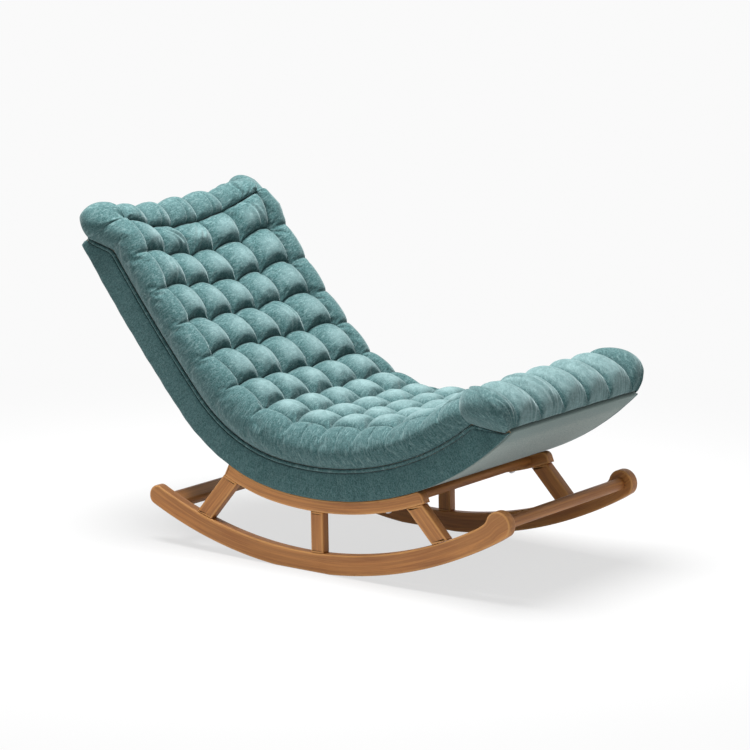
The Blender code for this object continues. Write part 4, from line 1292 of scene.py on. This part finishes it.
@dataclass(frozen=True)
class SeatCover:
    """Velvet round the seat frame: a padded band on each side, piping on its edge, and the underside."""

    frame_y: float = 0.2623
    band_thickness: float = 0.012
    band_head: float = -0.0095
    band_end_round: float = 0.005
    band_squareness: float = 5.0
    band_steps: int = 300
    band_corners: int = 48
    band_waves: tuple[Triple, ...] = ((0.0006, 61.0, 1.3), (0.0004, 143.0, 0.0))
    band_crest: Triple = (0.40, 0.30, 6.0)
    foam_y: float = 0.262
    foam_head: float = -0.0083
    piping_steps: tuple[int, int, int] = (420, 16, 60)
    piping_points: int = 900
    piping_window: int = 13
    piping_corners: int = 14
    piping_tip: float = 0.004
    piping_least: float = 0.0006
    piping_twist: Pair = (0.03, 190.0)
    piping_crest: Pair = (0.12, 0.5)
    underside_y: float = 0.2621
    underside_reach: float = 0.0098
    underside_head: float = 0.019
    underside_front: float = 0.014
    underside_round: float = 0.003
    underside_thickness: float = 0.0012
    underside_proud: float = 0.0008
    proud_fade: Pair = (0.03, 0.08)
    underside_crest: Pair = (0.5, 0.14)
    underside_steps: int = 240
    underside_columns: int = 41
    fold_steps: int = 8

    def band(self, side: Side) -> Piece:
        """Carry a padded section along one side of the seat.

        The section is a superellipse as high as the band and as deep as its padding. It closes in a quarter
        circle at both ends.

        Args:
            side: Which side of the chair.

        Returns:
            The band.
        """
        stations = np.linspace(self.band_head, SEAT.length - self.band_head, self.band_steps)
        turn = whole_turn(self.band_corners)
        power = 2.0 / self.band_squareness
        rise = np.sign(np.sin(turn)) * np.abs(np.sin(turn)) ** power
        out = np.sign(np.cos(turn)) * np.abs(np.cos(turn)) ** power
        inside = np.minimum(stations - stations[0], stations[-1] - stations) / self.band_end_round
        close = np.sqrt(1.0 - (1.0 - np.clip(inside, 0.0, 1.0)) ** 2)[:, None]
        top = EDGE.top(stations)[:, None]
        height = top / 2 * (1.0 + rise[None] * close)
        wave = sum(size * np.sin(rate * stations + phase) for size, rate, phase in self.band_waves)
        padding = self.band_thickness / 2 * (1.0 + out[None] * close)
        depth = padding + np.where(out > 0.0, wave[:, None], 0.0) * close
        across = side.value * (self.frame_y + depth)
        run = np.broadcast_to(stations[:, None], height.shape)
        lay = np.stack([run, across, height], axis=-1)
        # Painted shade: a low crest along the band's upper and lower edges darkens them.
        most, less, power = self.band_crest
        crest = np.broadcast_to(most - less * np.abs(rise) ** power, height.shape)
        faces = grid_faces(len(stations), len(turn), round_columns=True)
        places = SEAT.places(run, across, height)
        return make_piece(f"velvet_band_{side.label}", places, faces, {"crest": crest, "lay": lay})

    def piping_route(self) -> tuple[Array, Array]:
        """Run along the band's edge from the front, round the head end and back.

        Returns:
            Points of the route, and the seat's own upward direction at each.
        """
        half_y = self.frame_y + self.band_thickness - EDGE.piping_radius
        run_steps, corner_steps, over_steps = self.piping_steps
        run = np.linspace(EDGE.knees()[3], 0.0, run_steps)
        heights = EDGE.top(run) + EDGE.piping_room(run) / 2
        turn = np.radians(np.linspace(0.0, 90.0, corner_steps))[1:]
        back = self.foam_head - (EDGE.gap + EDGE.piping_radius) * np.sin(turn)
        corner_y = self.foam_y + (half_y - self.foam_y) * np.cos(turn)
        over = np.linspace(self.foam_y, 0.0, over_steps)[1:]
        stations = np.concatenate([run, back, np.full(over.shape, back[-1])])
        across = -np.concatenate([np.full(run.shape, half_y), corner_y, over])
        heights = np.concatenate([heights, np.full(len(back) + len(over), heights[-1])])
        half = np.stack([stations, across, heights], axis=-1)
        mirrored = half[-2::-1] * np.array([1.0, -1.0, 1.0])
        route = resample(np.concatenate([half, mirrored]), self.piping_points, True)
        window = np.hanning(self.piping_window)[1:-1]
        window /= window.sum()
        spare = len(window) // 2
        padded = np.pad(route, ((spare, spare), (0, 0)), "edge")
        route = np.stack([np.convolve(axis, window, "valid") for axis in padded.T], axis=-1)
        heading = SEAT.follow(route[:, 0])[2]
        upward = np.stack([-np.sin(heading), np.zeros_like(heading), np.cos(heading)], axis=-1)
        return route, upward

    def piping(self) -> Piece:
        """Carry a circle along the piping's route; it tapers to a point past the front knees.

        Returns:
            The piping.
        """
        route, upward = self.piping_route()
        places = SEAT.places(route[:, 0], route[:, 1], route[:, 2])
        ahead = np.gradient(places, axis=0)
        sideways = np.cross(ahead, upward)
        sideways /= np.linalg.norm(sideways, axis=1, keepdims=True)
        upright = np.cross(sideways, ahead)
        upright /= np.linalg.norm(upright, axis=1, keepdims=True)
        turn = whole_turn(self.piping_corners)
        length = run_lengths(places)
        room = np.minimum(EDGE.piping_room(route[:, 0]) / 2 - EDGE.gap, EDGE.piping_radius)
        tip = np.clip(np.minimum(length, length[-1] - length) / self.piping_tip, 0.0, 1.0)
        twist, rate = self.piping_twist
        radius = np.maximum(room, self.piping_least) * tip * (1.0 + twist * np.sin(rate * length))
        cosine, sine = np.cos(turn)[None, :, None], np.sin(turn)[None, :, None]
        circle = cosine * sideways[:, None] + sine * upright[:, None]
        points = places[:, None] + radius[:, None, None] * circle
        # Painted shade above and below the piping, where it meets the cushion and the band; slight painted
        # highlight on its outer side.
        least, more = self.piping_crest
        crest = least + more * np.abs(circle[..., 1])
        lay = np.broadcast_to(route[:, None], points.shape)
        faces = grid_faces(len(places), len(turn), round_columns=True)
        return make_piece("velvet_piping", points, faces, {"crest": crest, "lay": lay})

    def strip(self, inset: float) -> Array:
        """Lay the underside's path: up behind the head, under the seat and up at the front.

        Args:
            inset: How far it is moved inwards. A negative one stands proud near the two ends only.

        Returns:
            Station and height of each point.
        """
        bend = self.underside_round - inset
        head = -self.underside_reach + self.underside_round
        front = SEAT.length + self.underside_reach - self.underside_round
        first = arc((head, self.underside_round), bend, 180.0, 270.0, self.fold_steps)
        last = arc((front, self.underside_round), bend, -90.0, 0.0, self.fold_steps)
        start = np.array([[head - bend, self.underside_head]])
        end = np.array([[front + bend, self.underside_front]])
        flat = np.linspace(head, front, self.underside_steps)[1:-1]
        past_ends = 1.0 - ease(np.minimum(flat - head, front - flat), *self.proud_fade)
        middle = np.stack([flat, np.maximum(inset, 0.0) + min(inset, 0.0) * past_ends], axis=-1)
        return np.concatenate([start, first, middle, last, end])

    def underside(self) -> Piece:
        """Carry a thin folded strip across the seat.

        Returns:
            The underside cover.
        """
        y = np.linspace(-self.underside_y, self.underside_y, self.underside_columns)
        rings = np.stack([np.zeros_like(y), y], axis=-1)
        sweep = Sweep(self.strip(-self.underside_proud), self.strip(self.underside_thickness), rings)
        lay = sweep.flat_points()
        points = SEAT.places(lay[..., 0], lay[..., 1], lay[..., 2])
        # The underside's crest falls to 0 towards the front end, so it turns darker there.
        most, reach = self.underside_crest
        crest = most * ease(SEAT.length - lay[..., 0], 0.0, reach)
        return make_piece("velvet_underside", points, sweep.faces(), {"crest": crest, "lay": lay})

    def make(self, band: Material, piping: Material, under: Material) -> None:
        """Build and dress the cover's pieces.

        Args:
            band: Finish of the side bands.
            piping: Finish of the piping.
            under: Finish of the underside.
        """
        for side in Side:
            piece = self.band(side)
            dress(piece, band, "velvet", f"side_band_{side.label}")
        dress(self.piping(), piping, "velvet", "welt_cord")
        dress(self.underside(), under, "velvet", "underside_cover")


@dataclass(frozen=True)
class RockerBase:
    """Wooden base: two sides of runner, top rail and three posts, joined by a round bar and flat boards."""

    thickness: float = 0.025
    outer_y: float = 0.270
    easing: float = 0.0028
    gap: float = 0.0003
    runner_radius: float = 1.083
    runner_depth: float = 0.046
    runner_x: float = 0.041
    flat_length: float = 0.160
    tail_x: float = -0.411
    tail_reach: float = 0.021
    horn: Pair = (0.595, 0.187)
    horn_radius: float = 0.033
    horn_turn: Pair = (-40.0, 165.0)
    horn_tip: int = 23
    neck_x: float = 0.511
    neck_fall: float = 75.0
    neck_steps: int = 30
    arc_steps: int = 60
    tail_steps: int = 16
    runner_points: int = 260
    rail_depth: float = 0.031
    rail_ends: Pair = (0.660, 1.234)
    rail_nose: float = 0.014
    rail_steps: tuple[int, int, int] = (120, 100, 14)
    rail_points: int = 140
    posts: tuple[tuple[str, Pair, Pair, float], ...] = (
        ("rear_post", (-0.247, 0.099), (-0.179, 0.181), 0.041),
        ("middle_post", (0.086, 0.046), (0.084, 0.145), 0.035),
        ("front_post", (0.437, 0.123), (0.3615, 0.201), 0.042),
    )
    post_spare: float = 0.06
    post_samples: int = 2400
    post_points: int = 24
    under_rail_spare: float = 0.03
    under_rail_samples: int = 400
    bar_radius: float = 0.0145
    bar_easing: float = 0.0015
    bar_rings: int = 60
    bar_corners: int = 48
    bar_plank: float = 5.1
    stretcher: tuple[float, ...] = (-0.363, 0.106, -22.0, 0.042, 0.020)
    cross_rails: tuple[tuple[str, float], ...] = (("front_cross_rail", 1.175), ("rear_cross_rail", 0.725))
    cross_size: Pair = (0.028, 0.022)
    section_points: int = 8
    worn_inset: float = 1.5
    worn_depth: float = 0.9
    plank_step: float = 0.37
    planks: int = 29

    @property
    def middle_y(self) -> float:
        """Return the Y of the middle of a side board."""
        return self.outer_y - self.thickness / 2

    @property
    def span(self) -> float:
        """Return the clear width between the two sides."""
        return 2.0 * (self.outer_y - self.thickness - self.gap)

    def runner_angle(self, x: float, radius: float) -> float:
        """Return the angle in degrees at which a runner circle passes under x."""
        return math.degrees(math.asin((x - self.runner_x) / radius)) - 90.0

    def runner_edges(self) -> tuple[Array, Array]:
        """Lay out a runner's side view.

        Both edges are arcs about one centre. The lower one has a flat under the balance point, the tail is
        half an ellipse, and the upper one bends up into the round horn.

        Returns:
            Lower and upper edge, from the tip of the tail to the tip of the horn.
        """
        centre = (self.runner_x, self.runner_radius)
        upper_radius = self.runner_radius - self.runner_depth
        flat = math.degrees(math.asin(self.flat_length / 2 / self.runner_radius))
        floor_radius = self.runner_radius / math.cos(math.radians(flat))
        tail = self.runner_angle(self.tail_x, self.runner_radius)
        neck = self.runner_angle(self.neck_x, upper_radius)
        under_horn = self.runner_angle(self.horn[0], self.runner_radius)
        rear = arc(centre, floor_radius, tail, -90.0 - flat, self.arc_steps)
        front = arc(centre, floor_radius, -90.0 + flat, under_horn, self.arc_steps)
        top = arc(centre, upper_radius, tail, neck, 2 * self.arc_steps)
        nose = arc(self.horn, self.horn_radius, *self.horn_turn, self.arc_steps)
        slope, fall = math.radians(neck + 90.0), math.radians(self.neck_fall)
        pull = (self.horn[0] - self.horn_radius - self.neck_x) / 2
        t = np.linspace(0.0, 1.0, self.neck_steps)[1:-1, None]
        first = top[-1] + pull * np.array([math.cos(slope), math.sin(slope)])
        second = nose[-1] - pull / 2 * np.array([math.cos(fall), math.sin(fall)])
        bend = cubic(t, top[-1], first, second, nose[-1])
        turn = np.radians(np.linspace(0.0, 90.0, self.tail_steps))[:, None]
        root = (rear[0] + top[0]) / 2
        away = np.array([math.sin(math.radians(tail)), -math.cos(math.radians(tail))]) * self.tail_reach
        down = (rear[0] - root) * np.sin(turn) + away * np.cos(turn)
        up = (top[0] - root) * np.sin(turn) + away * np.cos(turn)
        lower = np.concatenate([root + down[:-1], rear, front, nose[:self.horn_tip + 1]])
        upper = np.concatenate([root + up[:-1], top, bend, nose[:self.horn_tip - 1:-1]])
        return resample(lower, self.runner_points, False), resample(upper, self.runner_points, False)

    def rail_edges(self) -> tuple[Array, Array]:
        """Lay out a top rail's side view: it follows the seat line, and its upper front corner is round.

        Returns:
            Lower and upper edge, from the rear.
        """
        rear, front = self.rail_ends
        run_steps, back_steps, nose_steps = self.rail_steps
        run = np.linspace(rear, front, run_steps)
        lower = SEAT.side(run, np.full_like(run, -self.gap - self.rail_depth))
        back = np.linspace(rear, front - self.rail_nose, back_steps)
        turn = np.radians(np.linspace(90.0, 0.0, nose_steps))[1:]
        nose_run = front - self.rail_nose + self.rail_nose * np.cos(turn)
        stations = np.concatenate([back, nose_run])
        drop = np.concatenate([np.zeros_like(back), self.rail_nose * (np.sin(turn) - 1.0)])
        upper = SEAT.side(stations, drop - self.gap)
        return resample(lower, self.rail_points, True), resample(upper, self.rail_points, True)

    def post_edges(self, foot: Pair, head: Pair, width: float) -> tuple[Array, Array]:
        """Cut a straight post to fit between the runner and the rail.

        Args:
            foot: Where its middle line meets the runner, as x and z.
            head: Where its middle line meets the rail.
            width: Its width in the side view.

        Returns:
            Its long edges from foot to head, each ended by the runner's circle and the rail's underside.
        """
        low, high = np.array(foot), np.array(head)
        along = (high - low) / np.linalg.norm(high - low)
        beside = np.array([along[1], -along[0]]) * width / 2
        end = np.linalg.norm(high - low) + self.post_spare
        reach = np.linspace(-self.post_spare, end, self.post_samples)[:, None]
        rear, front = self.rail_ends
        spare = self.under_rail_spare
        run = np.linspace(rear - spare, front + spare, self.under_rail_samples)
        under_rail = SEAT.side(run, np.full_like(run, -self.rail_depth - 2.0 * self.gap))
        middle = np.array([self.runner_x, self.runner_radius])
        clearance = self.runner_radius - self.runner_depth - self.gap
        edges = []
        for shift in (beside, -beside):
            line = low + shift + along * reach
            clear = np.linalg.norm(line - middle, axis=1) < clearance
            clear &= line[:, 1] < np.interp(line[:, 0], under_rail[:, 0], under_rail[:, 1])
            edges.append(resample(line[clear], self.post_points, True))
        return edges[0], edges[1]

    def board(
        self, name: str, edges: tuple[Array, Array], y: float, thickness: float, lengthwise: bool
    ) -> Piece:
        """Make a board from its side view, with eased edges that are marked for wear.

        Args:
            name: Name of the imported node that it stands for.
            edges: Its lower and upper edge as points (x, z).
            y: Middle of the board.
            thickness: Its size along Y.
            lengthwise: Whether its grain follows the edges, or else runs along Y.

        Returns:
            The board.
        """
        rings = Sweep.eased_rings(y, thickness, self.easing)
        sweep = Sweep(edges[0], edges[1], rings)
        points = sweep.flat_points()
        near_face = np.abs(rings[:, 1] - y) > thickness / 2 - self.worn_depth * self.easing
        eased = (rings[:, 0] < self.worn_inset * self.easing) & near_face
        edge = np.broadcast_to(eased[:, None].astype(float), points.shape[:2])
        start = self.plank_step * (sum(map(ord, name)) % self.planks)
        marks = {"grain": sweep.grain(lengthwise, start), "edge": edge}
        return make_piece(f"oiled_{name}", points, sweep.faces(), marks)

    def section_edges(
        self, x: float, z: float, tilt: float, width: float, depth: float
    ) -> tuple[Array, Array]:
        """Lay out the section of a board that runs across the chair.

        Args:
            x: Middle of the section.
            z: Its height.
            tilt: How far it is turned, in degrees.
            width: Its longer size.
            depth: Its shorter size.

        Returns:
            Lower and upper edge.
        """
        along = np.array([math.cos(math.radians(tilt)), math.sin(math.radians(tilt))]) * width / 2
        up = np.array([-along[1], along[0]]) * depth / width
        share = np.linspace(-1.0, 1.0, self.section_points)[:, None]
        middle = np.array([x, z]) + along * share
        return middle - up, middle + up

    def bar(self) -> Piece:
        """Turn the round bar about the line between the horns: a circle at each Y, closed at both ends.

        Returns:
            The bar.
        """
        half = self.span / 2
        y = np.concatenate([[-half], np.linspace(-half, half, self.bar_rings), [half]])
        easing = self.bar_easing
        inside = np.minimum(half - np.abs(y), easing) / easing
        radius = (self.bar_radius - easing) + easing * np.sqrt(1.0 - (1.0 - inside) ** 2)
        radius[[0, -1]] = 0.0
        turn = whole_turn(self.bar_corners)
        dx, dz = radius[:, None] * np.cos(turn), radius[:, None] * np.sin(turn)
        run = np.broadcast_to(y[:, None], dx.shape)
        points = np.stack([self.horn[0] + dx, run, self.horn[1] + dz], axis=-1)
        marks = {"grain": np.stack([run + self.bar_plank, dx, dz], axis=-1), "edge": np.zeros(dx.shape)}
        faces = grid_faces(len(y), len(turn), round_columns=True)
        return make_piece("oiled_front_bar", points, faces, marks)

    def make(self, finish: Material) -> None:
        """Build and dress every wooden piece of the base."""
        for side in Side:
            y = side.value * self.middle_y
            pieces = [("runner", self.runner_edges()), ("top_rail", self.rail_edges())]
            pieces += [(name, self.post_edges(foot, head, width)) for name, foot, head, width in self.posts]
            for name, edges in pieces:
                node = f"{name}_{side.label}"
                dress(self.board(node, edges, y, self.thickness, True), finish, "wood", node)
        sections = [("rear_stretcher", self.stretcher)]
        for name, station in self.cross_rails:
            x, z = SEAT.side(np.array(station), np.array(-self.gap - self.cross_size[1] / 2))
            sections.append((name, (x, z, math.degrees(float(SEAT.follow(station)[2])), *self.cross_size)))
        for name, section in sections:
            board = self.board(name, self.section_edges(*section), 0.0, self.span, False)
            dress(board, finish, "wood", name)
        dress(self.bar(), finish, "wood", "front_bar")


@dataclass(frozen=True)
class SeatInsides:
    """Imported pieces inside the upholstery, which keep their own shape and only get a finish."""

    plywood: Plywood = Plywood()
    foam: Foam = Foam()
    webbing: Webbing = Webbing()
    steel: ZincSteel = ZincSteel()

    def make(self) -> None:
        """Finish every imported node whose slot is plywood, foam, webbing or steel."""
        finishes = {
            "plywood": self.plywood.material(),
            "foam": self.foam.material(),
            "webbing": self.webbing.material(),
            "steel": self.steel.material(),
        }
        for part in frame["record"]["subparts"]:
            finish = finishes.get(part["material_slot"])
            if finish is None:
                continue
            node = frame["nodes"][part["node"]]
            node.data.materials.clear()
            node.data.materials.append(finish)
            LOG.info("%s: finished in %s", part["node"], finish.name)


@dataclass(frozen=True)
class Studio:
    """Pale floor, soft light from above and the photograph's camera."""

    aim: Triple = (0.0556, 0.0, 0.4247)
    azimuth: float = 36.34
    elevation: float = 11.40
    distance: float = 8.0
    lens: float = 161.0
    sensor: float = 36.0
    view_limit: float = 200.0
    floor_size: float = 60.0
    floor_drop: float = 0.0004
    floor_grey: float = 0.66
    floor_white: float = 0.955
    floor_shadow: float = 0.30
    shadow_reach: Pair = (0.6, 2.4)
    sky: float = 0.32
    key_power: float = 250.0
    key_size: float = 2.2
    key_place: Triple = (-0.25, -0.25, 3.3)

    @staticmethod
    def seen_directly(tree: bpy.types.NodeTree) -> Socket:
        """Tell the rays that show a surface from those that only carry its light.

        Args:
            tree: Node tree that needs to know.

        Returns:
            1 for rays to the camera, straight or by gloss or glass, and 0 for the rest.
        """
        path = tree.nodes.new("ShaderNodeLightPath")
        total = path.outputs["Is Camera Ray"]
        for label in ("Is Glossy Ray", "Is Transmission Ray"):
            either = tree.nodes.new("ShaderNodeMath")
            either.operation = "MAXIMUM"
            tree.links.new(total, either.inputs[0])
            tree.links.new(path.outputs[label], either.inputs[1])
            total = either.outputs[0]
        return total

    def floor(self) -> None:
        """Lay a wide pale floor that looks white and keeps part of its shadow."""
        half = self.floor_size / 2
        mesh = bpy.data.meshes.new("studio_floor")
        corners = ((-half, -half), (half, -half), (half, half), (-half, half))
        mesh.from_pydata([(x, y, -self.floor_drop) for x, y in corners], [], [(0, 1, 2, 3)])
        floor = bpy.data.objects.new("studio_floor", mesh)
        bpy.context.scene.collection.objects.link(floor)
        nodes = FinishNodes("studio_floor")
        tree = nodes.tree
        grey = (self.floor_grey, self.floor_grey, self.floor_grey, 1.0)
        matt = nodes.add("BsdfDiffuse", {"Color": grey})
        white = nodes.add("Emission", {"Color": (1.0, 1.0, 1.0, 1.0), "Strength": self.floor_white})
        away = nodes.add("VectorMath", {0: nodes.here()}, operation="LENGTH")
        shadow = nodes.remap(away, *self.shadow_reach, self.floor_shadow, 0.0)
        shown = nodes.add("MixShader", {0: shadow, 1: white, 2: matt})
        both = nodes.add("MixShader", {0: self.seen_directly(tree), 1: matt, 2: shown})
        tree.nodes.remove(nodes.shader)
        tree.links.new(both, tree.nodes["Material Output"].inputs["Surface"])
        mesh.materials.append(nodes.material)

    def light(self) -> None:
        """Hang one large soft lamp above the chair, and let a pale sky fill the rest."""
        world = bpy.data.worlds.new("studio_sky")
        world.use_nodes = True
        tree = world.node_tree
        background = tree.nodes["Background"]
        background.inputs["Color"].default_value = (1.0, 1.0, 1.0, 1.0)
        level = tree.nodes.new("ShaderNodeMapRange")
        tree.links.new(self.seen_directly(tree), level.inputs["Value"])
        level.inputs["To Min"].default_value = self.sky
        level.inputs["To Max"].default_value = 1.0
        tree.links.new(level.outputs["Result"], background.inputs["Strength"])
        bpy.context.scene.world = world
        lamp = bpy.data.lights.new("soft_lamp", "AREA")
        lamp.shape = "DISK"
        lamp.size = self.key_size
        lamp.energy = self.key_power
        hung = bpy.data.objects.new("soft_lamp", lamp)
        hung.location = self.key_place
        down = Vector(self.aim) - Vector(self.key_place)
        hung.rotation_euler = down.to_track_quat("-Z", "Y").to_euler()
        bpy.context.scene.collection.objects.link(hung)

    def camera(self) -> None:
        """Stand the camera where the photograph was taken from."""
        turn, lift = math.radians(self.azimuth), math.radians(self.elevation)
        back = Vector((math.sin(turn) * math.cos(lift), -math.cos(turn) * math.cos(lift), math.sin(lift)))
        data = bpy.data.cameras.new("photo_camera")
        data.lens = self.lens
        data.sensor_width = self.sensor
        data.clip_end = self.view_limit
        camera = bpy.data.objects.new("photo_camera", data)
        camera.location = Vector(self.aim) + self.distance * back
        camera.rotation_euler = (-back).to_track_quat("-Z", "Y").to_euler()
        bpy.context.scene.collection.objects.link(camera)
        bpy.context.scene.camera = camera

    def make(self) -> None:
        """Set up the whole studio."""
        bpy.context.scene.view_settings.view_transform = "Standard"
        self.floor()
        self.light()
        self.camera()


def main() -> None:
    """Set the studio, then build and dress the chair from the floor up."""
    logging.basicConfig(level=logging.INFO, format="%(name)s: %(message)s")
    Studio().make()
    RockerBase().make(OiledWood().material())
    SeatInsides().make()
    tufted = Velvet("tufted_velvet").material()
    band = Velvet("band_velvet", nap=NapLay.DOWN_THE_BAND, rub=0.05, streak=0.14, sheen=0.45).material()
    piping = Velvet("piping_velvet", nap=NapLay.ROUND_THE_PIPING, rub=0.2, streak=0.3).material()
    lining = {"deep": (0.118, 0.166, 0.155), "plain": (0.285, 0.312, 0.288), "pale": (0.48, 0.465, 0.43)}
    under = Velvet("underside_velvet", **lining).material()
    SeatCover().make(band, piping, under)
    TuftedCushion().make(tufted)


if __name__ == "__main__":
    main()
